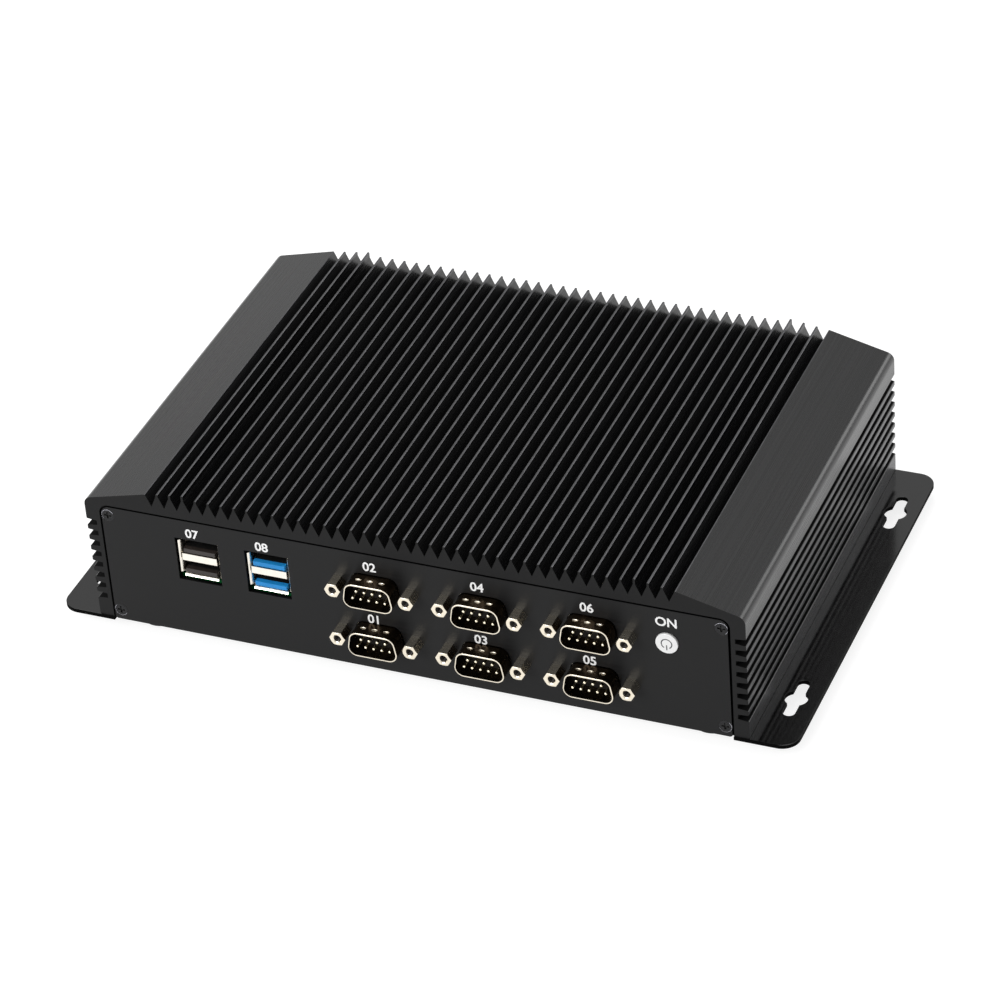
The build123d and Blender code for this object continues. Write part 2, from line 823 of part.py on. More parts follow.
def make_board_screws():
    screw = round_head_screw(board_screw_radius - thread_gap, board_screw_head_radius, board_screw_head,
                             board_screw_length)
    screws = [Pos(x, y, board_top) * screw for x, y in pillar_places()]
    back = panel_thickness + switch_stand_off + board_thickness - panel_face
    screws += [Pos(button_x, back, z) * Rot(-90, 0, 0) * screw for z in switch_screw_heights()]
    return Compound(screws)


def make_processor():
    return layer(Pos(0, block_y) * Rectangle(processor_size, processor_size), board_top, processor_top)


def make_thermal_pad():
    return layer(Pos(0, block_y) * Rectangle(processor_size, processor_size), processor_top, block_bottom)


def make_heat_block():
    """Block from the processor to the roof, with a sunk hole for a screw in each corner."""
    outline = Pos(0, block_y) * RectangleRounded(block_width, block_depth, block_corner)
    block = layer(outline, block_bottom, roof_z)
    head_seat = block_bottom + block_pocket
    for x, y in block_screw_places():
        block -= layer(Pos(x, y) * Circle(base_screw_radius + hole_gap), block_bottom, roof_z)
        block -= layer(Pos(x, y) * Circle(block_screw_head_radius + hole_gap), block_bottom, head_seat)
    return block


def make_block_screws():
    """Screws that point up, their heads sunk in the block and their ends in the housing's roof."""
    head_seat = block_bottom + block_pocket
    length = roof_z + block_screw_bite - head_seat
    radius = base_screw_radius - thread_gap
    screw = Rot(180, 0, 0) * round_head_screw(radius, block_screw_head_radius, block_screw_head, length)
    return Compound([Pos(x, y, head_seat) * screw for x, y in block_screw_places()])


def make_memory_module(growth=0):
    """Card along Y whose long edge is pushed into the socket on its right."""
    middle = Pos(memory_x + card_bite - memory_width / 2, memory_y, board_top + card_lift)
    return middle * Box(memory_width, memory_length + growth, memory_card + growth)


def make_memory_socket():
    """Long socket with a slot for the module's edge."""
    middle = Pos(memory_x + memory_socket_width / 2, memory_y)
    outline = middle * Rectangle(memory_socket_width, memory_length + memory_socket_ends)
    return layer(outline, board_top, board_top + memory_socket_height) - make_memory_module(2 * slide_gap)


def make_storage_module(growth=0):
    """Card along Y whose rear edge is pushed into the socket behind it."""
    middle = Pos(storage_x, storage_y, board_top + card_lift)
    return middle * Box(storage_width + growth, storage_length, storage_card + growth)


def make_storage_socket():
    """Short socket with a slot for the card's edge."""
    front = storage_y + storage_length / 2 - card_bite
    middle = Pos(storage_x, front + storage_socket_depth / 2)
    outline = middle * Rectangle(storage_socket_length, storage_socket_depth)
    return layer(outline, board_top, board_top + storage_socket_height) - make_storage_module(2 * slide_gap)


def make_cell_holder():
    """Round holder, open above and at its front for the cell."""
    middle = Pos(cell_x, cell_y)
    holder = layer(middle * Circle(cell_holder_radius), board_top, board_top + cell_holder_height)
    well = middle * Circle(cell_radius + hole_gap)
    return holder - layer(well, board_top + cell_holder_floor, board_top + cell_holder_height)


def make_coin_cell():
    floor = board_top + cell_holder_floor
    return layer(Pos(cell_x, cell_y) * Circle(cell_radius), floor, floor + cell_height)


# Rear ports

def port_outline(width, height, gap):
    """Front of a board-mounted port, grown by the gap."""
    return Pos(0, board_top + height / 2) * Rectangle(width + 2 * gap, height + 2 * gap)


def video_height():
    return board_top + plug_flange_height / 2


def make_power_jack():
    """Jack with a round mouth and a centre pin."""
    start = panel_thickness
    middle = Pos(0, board_top + power_jack_height / 2)
    jack = slab(port_outline(power_jack_width, power_jack_height, 0), start, start + power_jack_depth)
    jack += slab(middle * Circle(power_jack_bore + power_jack_collar - port_gap), port_setback, start)
    jack -= slab(middle * Circle(power_jack_bore), port_setback, power_jack_depth - power_jack_floor)
    return jack + slab(middle * Circle(power_jack_pin), start, power_jack_depth - power_jack_floor)


def video_hole_places():
    return [((i - 2) * video_pin_pitch, row * video_row_pitch) for row in (-1, 0, 1) for i in range(5)]


def make_video_core():
    """Insulator of the video socket, with fifteen holes in three rows and its body down to the board."""
    middle = Pos(0, video_height())
    face = pin_shy / 2 - plug_reach
    flange_back = panel_thickness + plug_flange_thickness
    core = slab(middle * plug_outline(-thread_gap), face, flange_back)
    core += slab(middle * Rectangle(plug_body_width, plug_flange_height), flange_back, plug_body_depth + video_extra_depth)
    for x, z in video_hole_places():
        core -= slab(middle * Pos(x, z) * Circle(video_hole_radius), face, 0)
    return core


def make_hdmi_port():
    """Shell with its two lower corners cut, and a tongue."""
    end = port_setback + hdmi_depth
    mouth = port_outline(hdmi_width, hdmi_height, -hdmi_wall)
    mouth = chamfer(mouth.vertices().group_by(Axis.Y)[0], hdmi_corner)
    port = slab(port_outline(hdmi_width, hdmi_height, 0), port_setback, end)
    port -= slab(mouth, port_setback, end - hdmi_back)
    tongue = Pos(0, board_top + hdmi_height / 2) * Rectangle(hdmi_tongue_width, hdmi_tongue_thickness)
    return port + slab(tongue, 2 * port_setback, end - hdmi_back)


def make_lan_port():
    """Shielded jack with the stepped mouth for a plug and its latch."""
    end = port_setback + lan_depth
    mouth_z = board_top + lan_wall + lan_latch_height
    mouth = Pos(0, mouth_z + lan_mouth_height / 2) * Rectangle(lan_mouth_width, lan_mouth_height)
    latch = Pos(0, mouth_z - lan_latch_height / 2) * Rectangle(lan_latch_width, lan_latch_height)
    port = slab(port_outline(lan_width, lan_height, 0), port_setback, end)
    return port - slab(mouth + latch, port_setback, port_setback + lan_mouth_depth)


def make_audio_jack():
    """Jack with a round collar that stands in the panel's hole."""
    start = panel_thickness
    middle = Pos(0, board_top + audio_height / 2)
    jack = slab(port_outline(audio_width, audio_height, 0), start, start + audio_depth)
    jack += slab(middle * Circle(audio_collar_radius), 0, start)
    return jack - slab(middle * Circle(audio_bore_radius), 0, audio_depth)


# Write every piece

os.makedirs("parts", exist_ok=True)

part(make_housing(), "housing")
part(make_front_panel(), "front_panel")
part(make_rear_panel(), "rear_panel")
part(make_base_plate(), "base_plate")
part(make_panel_screws(), "panel_screws")
part(make_base_screws(), "base_screws")

rubber_foot = make_rubber_foot()
foot_names = ("front_left", "rear_left", "front_right", "rear_right")
for name, (x, y) in zip(foot_names, corner_places(foot_across / 2, foot_along / 2)):
    part(Pos(x, y, 0) * rubber_foot, f"rubber_foot_{name}")

plug_shell = make_plug_shell()
plug_core = make_plug_core()
for number, (x, z) in enumerate(serial_places(), start=1):
    part(Pos(x, 0, z) * plug_shell, f"serial_shell_{number}")
    part(Pos(x, 0, z) * plug_core, f"serial_pin_block_{number}")
part(make_jackscrews(), "jackscrews")
part(make_serial_board(), "serial_board")
part(make_serial_cable(), "serial_cable")

whole_lip = (0, usb_height - 2 * usb_wall - 2 * usb_lip_inset)
half_lips = [(side * (usb_port_height + usb_band) / 2, usb_port_height - usb_lip_inset) for side in (-1, 1)]
usb_shell = make_usb_shell([whole_lip])
split_usb_shell = make_usb_shell(half_lips)
usb_core = make_usb_core()
for number, (x, shell) in enumerate(zip(usb_front_x, (usb_shell, split_usb_shell)), start=1):
    part(Pos(x, 0, 0) * shell, f"usb_shell_front_{number}")
    part(Pos(x, 0, 0) * usb_core, f"usb_tongues_front_{number}")
for number, x in enumerate(usb_rear_x, start=1):
    part(at_rear(Pos(x, 0, 0) * usb_shell), f"usb_shell_rear_{number}")
    part(at_rear(Pos(x, 0, 0) * usb_core), f"usb_tongues_rear_{number}")

part(make_power_button(), "power_button")
part(make_switch_plunger(), "switch_plunger")
part(make_key_switch(), "key_switch")
part(make_switch_board(), "switch_board")
part(make_switch_pillars(), "switch_pillars")

part(make_mainboard(), "mainboard")
part(make_mainboard_pillars(), "mainboard_pillars")
part(make_board_screws(), "board_screws")
part(make_processor(), "processor")
part(make_thermal_pad(), "thermal_pad")
part(make_heat_block(), "heat_block")
part(make_block_screws(), "heat_block_screws")
part(make_memory_socket(), "memory_socket")
part(make_memory_module(), "memory_module")
part(make_storage_socket(), "storage_socket")
part(make_storage_module(), "storage_module")
part(make_cell_holder(), "coin_cell_holder")
part(make_coin_cell(), "coin_cell")

part(at_rear(Pos(power_jack_x, 0, 0) * make_power_jack()), "power_jack")
part(at_rear(Pos(video_x, 0, video_height()) * plug_shell), "video_shell")
part(at_rear(Pos(video_x, 0, 0) * make_video_core()), "video_socket_block")
part(at_rear(Pos(hdmi_x, 0, 0) * make_hdmi_port()), "hdmi_port")
lan_port = make_lan_port()
for number, x in enumerate(lan_x, start=1):
    part(at_rear(Pos(x, 0, 0) * lan_port), f"lan_port_{number}")
part(at_rear(Pos(audio_x, 0, 0) * make_audio_jack()), "audio_jack")
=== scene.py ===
from contextlib import contextmanager
import math

import bmesh
import bpy
from mathutils import Matrix, Vector


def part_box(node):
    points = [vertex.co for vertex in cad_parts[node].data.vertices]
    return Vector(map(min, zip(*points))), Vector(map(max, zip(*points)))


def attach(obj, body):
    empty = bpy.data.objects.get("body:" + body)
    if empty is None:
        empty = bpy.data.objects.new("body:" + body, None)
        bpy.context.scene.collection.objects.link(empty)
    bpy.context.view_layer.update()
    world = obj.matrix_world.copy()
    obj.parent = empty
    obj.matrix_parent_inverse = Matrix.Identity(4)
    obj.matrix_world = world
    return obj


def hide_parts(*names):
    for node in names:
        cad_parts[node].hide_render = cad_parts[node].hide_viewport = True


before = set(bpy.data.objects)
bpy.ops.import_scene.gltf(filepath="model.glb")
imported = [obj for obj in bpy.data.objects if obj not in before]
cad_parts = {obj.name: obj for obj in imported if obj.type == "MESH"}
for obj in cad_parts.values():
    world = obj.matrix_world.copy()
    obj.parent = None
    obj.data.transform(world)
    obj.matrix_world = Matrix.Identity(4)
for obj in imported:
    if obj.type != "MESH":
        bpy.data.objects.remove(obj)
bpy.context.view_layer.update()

bl_info = {
    "name": "Fanless industrial computer",
    "version": (1, 0, 0),
    "blender": (4, 5, 0),
    "location": "3D View > Sidebar > Industrial PC",
    "description": "Finishes a fanless computer's housing, panels and ports, and sets up a studio for it",
    "category": "Object",
}

# All places are in metres, and one millimetre is the unit that sizes are written in.
MM = 0.001
# How close two points or planes lie that count as one, and how far a test of place may be out.
MERGE = 0.002 * MM
SLACK = 0.05 * MM
# Where a port's dark inside starts, behind its face; in a jackscrew's bore that dark is painted shade.
FACE_DEPTH = 0.2 * MM
FLAT = math.radians(0.2)
CREASE = math.radians(32)
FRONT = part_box("front_panel")[0].y
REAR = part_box("rear_panel")[1].y
# A direction lies along an axis where that share of it does.
ALONG = 0.99
# A die line or a brushed line is so many times longer than it is wide.
DIE_LINE_STRETCH = 400
BRUSH_LINE_STRETCH = 80
THREAD_TURNS = 5
THREAD_STEPS = 20
WIRES_IN_A_JACK = 8
FLOOR_SIZE = 8.0
# Each light's setting of power, its size and its place, in metres.
LIGHTS = {
    "softbox": ("key", 0.9, (-0.25, 0.35, 1.25)),
    "back_light": ("back", 0.6, (0.8, 1.26, 0.78)),
    "front_fill": ("fill", 0.8, (-0.5, -1.1, 0.7)),
}


# Colours and shader nodes

def linear(code):
    """An sRGB hex colour as linear red, green, blue and alpha."""
    channels = [int(code[i:i + 2], 16) / 255 for i in (0, 2, 4)]
    return [c / 12.92 if c <= 0.04045 else ((c + 0.055) / 1.055) ** 2.4 for c in channels] + [1.0]


def add_node(tree, kind, inputs=None, **settings):
    """Adds a node, sets its properties, and gives each named input a value or a link."""
    node = tree.nodes.new(kind)
    for name, value in settings.items():
        setattr(node, name, value)
    for name, value in (inputs or {}).items():
        if isinstance(value, bpy.types.NodeSocket):
            tree.links.new(value, node.inputs[name])
        else:
            node.inputs[name].default_value = value
    return node


def new_finish(name, colour, roughness, inputs=None):
    """A material with its one shader, and that shader's inputs by name."""
    material = bpy.data.materials.new(name)
    material.use_nodes = True
    tree = material.node_tree
    tree.nodes.clear()
    shader = add_node(tree, "ShaderNodeBsdfPrincipled",
                      {"Base Color": colour, "Roughness": roughness, **(inputs or {})})
    add_node(tree, "ShaderNodeOutputMaterial", {"Surface": shader.outputs["BSDF"]})
    return material, tree, shader


def grain(tree, x, y, z, detail=3.0):
    """Noise whose spots are x, y and z metres long on the piece."""
    places = add_node(tree, "ShaderNodeTexCoord")
    steps = add_node(tree, "ShaderNodeMapping",
                     {"Vector": places.outputs["Object"], "Scale": (1 / x, 1 / y, 1 / z)})
    noise = add_node(tree, "ShaderNodeTexNoise",
                     {"Vector": steps.outputs["Vector"], "Scale": 1.0, "Detail": detail})
    return noise.outputs["Fac"]


def vary(tree, pattern, low, high):
    """A value that goes from low to high with a pattern, which mostly lies between 0.3 and 0.7."""
    inputs = {"Value": pattern, "From Min": 0.3, "From Max": 0.7, "To Min": low, "To Max": high}
    return add_node(tree, "ShaderNodeMapRange", inputs).outputs["Result"]


def tint(tree, pattern, dark, light):
    """A colour between two with a pattern."""
    mix = add_node(tree, "ShaderNodeMix", {"Factor": vary(tree, pattern, 0.0, 1.0)}, data_type="RGBA")
    mix.inputs["A"].default_value = dark
    mix.inputs["B"].default_value = light
    return mix


def relief(tree, shader, pattern, height, strength):
    """Bumps of a height in metres under the shader."""
    bump = add_node(tree, "ShaderNodeBump", {"Height": pattern, "Distance": height, "Strength": strength})
    tree.links.new(bump.outputs["Normal"], shader.inputs["Normal"])


def shade(colour, factor):
    """The colour made darker or lighter."""
    return [channel * factor for channel in colour[:3]] + [1.0]


def link_tint(tree, shader, pattern, colour, spread):
    """Makes the colour a share darker and lighter with a pattern."""
    mix = tint(tree, pattern, shade(colour, 1 - spread), shade(colour, 1 + spread))
    tree.links.new(mix.outputs["Result"], shader.inputs["Base Color"])


# Materials

def die_lines(tree, case):
    """The fine lines that the die draws along the housing."""
    return grain(tree, case.die_line, DIE_LINE_STRETCH * case.die_line, case.die_line, 4.0)


def anodised_extrusion(case):
    """Black anodised aluminium as it comes from the die: a smooth skin with faint lines along it."""
    material, tree, shader = new_finish("black_anodised_extrusion", case.anodise, 0.28,
                                        {"Specular IOR Level": 0.66})
    lines = die_lines(tree, case)
    tree.links.new(vary(tree, lines, 0.23, 0.33), shader.inputs["Roughness"])
    link_tint(tree, shader, lines, case.anodise, 0.35)
    relief(tree, shader, lines, 0.012 * MM, 0.6)
    return material


def milled_end_with_painted_shade(case):
    """The same aluminium where a cutter squared the ends off: finer and flatter, and a shade darker as
    painted shade on the end faces.
    """
    finish = shade(case.anodise, 0.8)
    material, tree, shader = new_finish("milled_anodised_end", finish, 0.45, {"Specular IOR Level": 0.2})
    marks = grain(tree, 0.8 * MM, 0.2 * MM, 0.2 * MM)
    tree.links.new(vary(tree, marks, 0.4, 0.52), shader.inputs["Roughness"])
    link_tint(tree, shader, marks, finish, 0.25)
    return material


def painted_highlight_metal(name, colour):
    """Grey metal painted along the ribs' tips and the side lips as a bright line: a painted highlight for
    the light that these edges catch.
    """
    material, tree, shader = new_finish(name, colour, 0.3, {"Metallic": 1.0})
    wear = grain(tree, 0.4 * MM, 6 * MM, 0.4 * MM)
    tree.links.new(vary(tree, wear, 0.24, 0.4), shader.inputs["Roughness"])
    link_tint(tree, shader, wear, colour, 0.15)
    return material


def groove_anodise_painted_shade(case):
    """The same aluminium down in the side grooves: matt, sending back little light, and painted half as dark
    as painted shade there.
    """
    finish = shade(case.anodise, 0.5)
    material, tree, shader = new_finish("matt_anodised_groove", finish, 0.7, {"Specular IOR Level": 0.1})
    lines = die_lines(tree, case)
    tree.links.new(vary(tree, lines, 0.62, 0.8), shader.inputs["Roughness"])
    link_tint(tree, shader, lines, finish, 0.35)
    return material


def brushed_anodise(panel):
    """Sheet aluminium brushed from side to side and then anodised black, so highlights stretch upwards."""
    material, tree, shader = new_finish("brushed_black_panel", panel.anodise, 0.42,
                                        {"Anisotropic": 0.65, "Specular IOR Level": 0.22})
    direction = add_node(tree, "ShaderNodeTangent", direction_type="UV_MAP", uv_map="brushing")
    tree.links.new(direction.outputs["Tangent"], shader.inputs["Tangent"])
    lines = grain(tree, BRUSH_LINE_STRETCH * panel.brush_line, panel.brush_line, panel.brush_line, 5.0)
    tree.links.new(vary(tree, lines, 0.36, 0.5), shader.inputs["Roughness"])
    link_tint(tree, shader, lines, panel.anodise, 0.3)
    relief(tree, shader, lines, 0.01 * MM, 0.5)
    return material


def shadow_gap(name, colour):
    """An edge painted dark and matt as shadow: beside a gap, both read as one black line."""
    finish = shade(colour, 0.2)
    material, tree, shader = new_finish(name, finish, 0.8, {"Specular IOR Level": 0.05})
    cuts = grain(tree, 0.3 * MM, 0.3 * MM, 0.3 * MM)
    tree.links.new(vary(tree, cuts, 0.7, 0.9), shader.inputs["Roughness"])
    link_tint(tree, shader, cuts, finish, 0.3)
    return material


def powder_coat(plate):
    """Baked black powder on steel sheet: slightly soft gloss over a fine orange-peel skin."""
    material, tree, shader = new_finish("black_powder_coat", plate.coat, 0.13, {"Specular IOR Level": 0.85})
    skin = grain(tree, plate.peel, plate.peel, plate.peel, 2.0)
    tree.links.new(vary(tree, skin, 0.1, 0.17), shader.inputs["Roughness"])
    link_tint(tree, shader, grain(tree, 12 * MM, 12 * MM, 12 * MM), plate.coat, 0.12)
    relief(tree, shader, skin, 0.02 * MM, 0.35)
    return material


def black_oxide(name, colour):
    """Steel screws blackened in a salt bath: dark grey metal that still glints on its edges."""
    material, tree, shader = new_finish(name, colour, 0.34, {"Metallic": 0.6})
    marks = grain(tree, 0.4 * MM, 0.4 * MM, 0.4 * MM)
    tree.links.new(vary(tree, marks, 0.26, 0.46), shader.inputs["Roughness"])
    link_tint(tree, shader, marks, colour, 0.35)
    return material


def moulded_rubber(feet):
    """Black moulded rubber: matt, with the faint cloudiness that rubber gets on its surface."""
    material, tree, shader = new_finish("moulded_rubber", feet.rubber, 0.72, {"Specular IOR Level": 0.35})
    skin = grain(tree, 0.25 * MM, 0.25 * MM, 0.25 * MM)
    link_tint(tree, shader, grain(tree, 6 * MM, 6 * MM, 6 * MM), feet.rubber, 0.3)
    tree.links.new(vary(tree, skin, 0.62, 0.85), shader.inputs["Roughness"])
    relief(tree, shader, skin, 0.015 * MM, 0.6)
    return material


def bright_plate(name, colour, roughness):
    """Nickel, tin or zinc on pressed steel: a mirror, dulled a little by handling."""
    material, tree, shader = new_finish(name, colour, roughness, {"Metallic": 1.0})
    film = grain(tree, 2.5 * MM, 2.5 * MM, 2.5 * MM)
    tree.links.new(vary(tree, film, 0.7 * roughness, 1.5 * roughness), shader.inputs["Roughness"])
    link_tint(tree, shader, film, colour, 0.06)
    return material


def turned_nickel(colour):
    """Nickel on a turned screw: fine rings across its length."""
    material, tree, shader = new_finish("turned_nickel", colour, 0.2, {"Metallic": 1.0})
    rings = grain(tree, 60 * MM, 0.12 * MM, 60 * MM)
    tree.links.new(vary(tree, rings, 0.14, 0.3), shader.inputs["Roughness"])
    link_tint(tree, shader, rings, colour, 0.08)
    relief(tree, shader, rings, 0.004 * MM, 0.5)
    return material


def oiled_thread(colour):
    """A tapped bore painted dark brown as shade down in it, a little wet-looking."""
    material, tree, shader = new_finish("oiled_thread", colour, 0.35, {"Specular IOR Level": 0.4})
    film = grain(tree, 0.5 * MM, 0.2 * MM, 0.5 * MM)
    tree.links.new(vary(tree, film, 0.25, 0.5), shader.inputs["Roughness"])
    link_tint(tree, shader, film, colour, 0.4)
    return material


def gold_flash(name, colour):
    """Thin gold over nickel on the contacts: pale yellow and bright."""
    material, tree, shader = new_finish(name, colour, 0.22, {"Metallic": 1.0})
    film = grain(tree, 0.8 * MM, 0.8 * MM, 0.8 * MM)
    tree.links.new(vary(tree, film, 0.16, 0.3), shader.inputs["Roughness"])
    link_tint(tree, shader, film, colour, 0.1)
    return material


def moulded_plastic(name, colour, roughness=0.5):
    """Glass-filled moulded plastic: even colour, with the fine grain of a spark-eroded mould."""
    material, tree, shader = new_finish(name, colour, roughness)
    skin = grain(tree, 0.18 * MM, 0.18 * MM, 0.18 * MM)
    tree.links.new(vary(tree, skin, roughness - 0.07, roughness + 0.08), shader.inputs["Roughness"])
    link_tint(tree, shader, grain(tree, 4 * MM, 4 * MM, 4 * MM), colour, 0.08)
    relief(tree, shader, skin, 0.008 * MM, 0.5)
    return material


def gloss_plastic(button):
    """White ABS from a polished mould: a clean gloss with very slight unevenness."""
    material, tree, shader = new_finish("gloss_white_abs", button.white, 0.16, {"Coat Weight": 0.3})
    skin = grain(tree, 1.5 * MM, 1.5 * MM, 1.5 * MM)
    tree.links.new(vary(tree, skin, 0.12, 0.2), shader.inputs["Roughness"])
    link_tint(tree, shader, skin, button.white, 0.015)
    return material


def screen_ink(name, colour):
    """A thin, even and slightly chalky layer: printed ink, and also the painted shade down in a screw's
    cross slot.
    """
    material, tree, shader = new_finish(name, colour, 0.55)
    dots = grain(tree, 0.1 * MM, 0.1 * MM, 0.1 * MM)
    link_tint(tree, shader, dots, colour, 0.04)
    tree.links.new(vary(tree, dots, 0.48, 0.62), shader.inputs["Roughness"])
    return material


def solder_resist(colour):
    """Green lacquer over copper tracks on a glass-fibre board."""
    material, tree, shader = new_finish("green_solder_resist", colour, 0.35)
    tracks = grain(tree, 9 * MM, 1.2 * MM, 9 * MM, 0.0)
    mix = tint(tree, tracks, shade(colour, 0.6), shade(colour, 1.5))
    tree.links.new(mix.outputs["Result"], shader.inputs["Base Color"])
    relief(tree, shader, tracks, 0.03 * MM, 0.5)
    return material


def machined_aluminium(colour):
    """Bare aluminium from the mill: bright, with fine tool marks."""
    material, tree, shader = new_finish("machined_aluminium", colour, 0.32, {"Metallic": 1.0})
    marks = grain(tree, 0.3 * MM, 30 * MM, 0.3 * MM)
    tree.links.new(vary(tree, marks, 0.25, 0.42), shader.inputs["Roughness"])
    link_tint(tree, shader, marks, colour, 0.1)
    return material


# Modelling by hand: one piece at a time, in edit mode

def pick(piece):
    """Selects this piece alone and makes it active."""
    bpy.ops.object.select_all(action="DESELECT")
    piece.select_set(True)
    bpy.context.view_layer.objects.active = piece


@contextmanager
def editing(piece, kind="EDGE"):
    """Edit mode on one piece, with nothing selected."""
    pick(piece)
    bpy.ops.object.mode_set(mode="EDIT")
    bpy.ops.mesh.select_mode(type=kind)
    bpy.ops.mesh.select_all(action="DESELECT")
    yield
    bpy.ops.object.mode_set(mode="OBJECT")


def choose_edges(piece, where, bend=25.0):
    """Selects the sharp edges whose middle and direction pass a test."""
    mesh = bmesh.from_edit_mesh(piece.data)
    found = 0
    for edge in mesh.edges:
        start, end = (vertex.co for vertex in edge.verts)
        sharp = edge.is_manifold and edge.calc_face_angle() > math.radians(bend)
        chosen = bool(sharp and where((start + end) / 2, (end - start).normalized()))
        edge.select_set(chosen)
        found += chosen
    bmesh.update_edit_mesh(piece.data, loop_triangles=False, destructive=False)
    if not found:
        raise RuntimeError(f"no edge to choose on {piece.name}")


def choose_faces(piece, where):
    """Selects the faces whose middle and normal pass a test."""
    mesh = bmesh.from_edit_mesh(piece.data)
    found = 0
    for face in mesh.faces:
        chosen = bool(where(face.calc_center_median(), face.normal))
        face.select_set(chosen)
        found += chosen
    bmesh.update_edit_mesh(piece.data, loop_triangles=False, destructive=False)
    if not found:
        raise RuntimeError(f"no face to choose on {piece.name}")


def choose_points(piece, where):
    """Selects the points that pass a test."""
    mesh = bmesh.from_edit_mesh(piece.data)
    for vertex in mesh.verts:
        vertex.select_set(bool(where(vertex.co)))
    bmesh.update_edit_mesh(piece.data, loop_triangles=False, destructive=False)


def round_edges(piece, size, where, segments=2, bend=25.0):
    """Rounds the sharp edges that pass a test."""
    with editing(piece):
        choose_edges(piece, where, bend)
        bpy.ops.mesh.bevel(offset=size, segments=segments, affect="EDGES")


def cut_in_triangles(piece):
    """Cuts a sheet with many openings into triangles, so that rounding folds no face over itself."""
    with editing(piece, "FACE"):
        bpy.ops.mesh.select_all(action="SELECT")
        bpy.ops.mesh.quads_convert_to_tris(quad_method="BEAUTY", ngon_method="BEAUTY")


def cad_copy(name, node):
    """A copy of a CAD node's mesh, its loose triangles merged into whole faces."""
    piece = bpy.data.objects.new(name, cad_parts[node].data.copy())
    piece.data.name = name
    piece.data.materials.clear()
    bpy.context.scene.collection.objects.link(piece)
    pick(piece)
    bpy.ops.mesh.customdata_custom_splitnormals_clear()
    with editing(piece):
        bpy.ops.mesh.select_all(action="SELECT")
        bpy.ops.mesh.remove_doubles(threshold=MERGE)
        bpy.ops.mesh.dissolve_limited(angle_limit=FLAT)
    return piece


def new_piece(name, stretch=(1, 1, 1)):
    """Stretches and names the primitive that was just added, with its place moved into its mesh."""
    piece = bpy.context.object
    piece.scale = stretch
    bpy.ops.object.transform_apply(location=True, rotation=True, scale=True)
    piece.name = name
    piece.data.name = name
    return piece


def copy_moved(piece, name, matrix):
    """A copy with its own mesh, moved by a matrix."""
    twin = piece.copy()
    twin.data = piece.data.copy()
    twin.name = name
    twin.data.name = name
    twin.data.transform(matrix)
    bpy.context.scene.collection.objects.link(twin)
    return twin


def shape_with(piece, kind, **settings):
    """Adds a modifier with its settings and applies it."""
    pick(piece)
    modifier = piece.modifiers.new(kind, kind)
    for name, value in settings.items():
        setattr(modifier, name, value)
    bpy.ops.object.modifier_apply(modifier=modifier.name)


def cut_with(piece, tool):
    """Cuts another piece out of this one, and removes that piece."""
    shape_with(piece, "BOOLEAN", operation="DIFFERENCE", solver="EXACT", object=tool)
    bpy.data.objects.remove(tool)


def join_all(name, pieces):
    """Makes several pieces one."""
    pick(pieces[0])
    for piece in pieces[1:]:
        piece.select_set(True)
    bpy.ops.object.join()
    pieces[0].name = name
    return pieces[0]


def paint(piece, index, where):
    """Gives the faces whose middle passes a test the piece's material of that number."""
    for face in piece.data.polygons:
        if where(face.center, face.normal):
            face.material_index = index


def hand_over(piece, materials=(), replaces=(), body="case"):
    """Smooths a finished piece's curves, gives it its materials and its body, and hides the CAD nodes that
    it stands in for.
    """
    pick(piece)
    bpy.ops.object.shade_smooth_by_angle(angle=CREASE)
    shape_with(piece, "WEIGHTED_NORMAL", keep_sharp=True)
    for material in materials:
        piece.data.materials.append(material)
    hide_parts(*replaces)
    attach(piece, body)


def centre(node):
    """The middle of a CAD node's box."""
    low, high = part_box(node)
    return (low + high) / 2


def shared(name, make, *values):
    """The material of that name, made if it isn't there yet."""
    return bpy.data.materials.get(name) or make(name, *values)


# Sizes and colours that a user would change

def length(name, description, millimetres):
    """A length in a panel of settings."""
    return bpy.props.FloatProperty(name=name, description=description, default=millimetres * MM,
                                   min=0.0, unit="LENGTH", precision=5)


def colour(name, description, code):
    """A colour in a panel of settings."""
    return bpy.props.FloatVectorProperty(name=name, description=description, default=linear(code),
                                         min=0.0, max=1.0, size=4, subtype="COLOR")


class CaseSettings(bpy.types.PropertyGroup):
    """The finned housing"""

    anodise: colour("Anodised extrusion", "Colour of the finned housing", "0a0a0b")
    # Painted highlight: the colour given to the fins' tips where light catches them.
    tip_highlight: colour("Tip highlight", "Colour of the fins' tips, where the anodising is thin", "606062")
    # Painted highlight: the colour given to the side lips where light catches them.
    lip_highlight: colour("Lip highlight", "Colour of the side lips, where the anodising is thin", "505052")
    die_line: length("Die line", "Width of the lines that the extrusion die leaves", 0.5)
    fin_round: length("Fin tip rounding", "Radius along the two edges of each fin's tip", 0.2)
    fin_band: length("Fin tip band", "How far below the highest crest the fins' tips reach", 2.15)
    edge_round: length("Housing edge rounding", "Radius of the lips between the side grooves", 0.25)
    step_round: length("Step rounding", "Width of the broken edge beside the end panels", 0.2)
    shoulder: length("Shoulder", "Width of each smooth shoulder beside the fins", 22.2)
    side_groove: length("Side groove", "Depth of the grooves along each side", 3.7)
    foot: length("Foot", "Height over the ground of the lowest groove", 12.4)
    lips: length("Lips", "Height over the ground that the side grooves reach", 44.6)


class PanelSettings(bpy.types.PropertyGroup):
    """The two end panels"""

    anodise: colour("Brushed panel", "Colour of the front and rear panels", "070708")
    brush_line: length("Brush line", "Width of the brushed lines", 0.35)
    edge_round: length("Panel edge rounding", "Radius along the panel's openings", 0.12)
    gap: length("Panel gap", "Gap between a panel and the housing", 0.35)


class PlateSettings(bpy.types.PropertyGroup):
    """The base plate"""

    coat: colour("Powder coat", "Colour of the base plate", "040404")
    peel: length("Orange peel", "Width of the bumps in the powder coat", 0.6)
    edge_round: length("Plate edge rounding", "Radius along the plate's cut edges", 0.15)


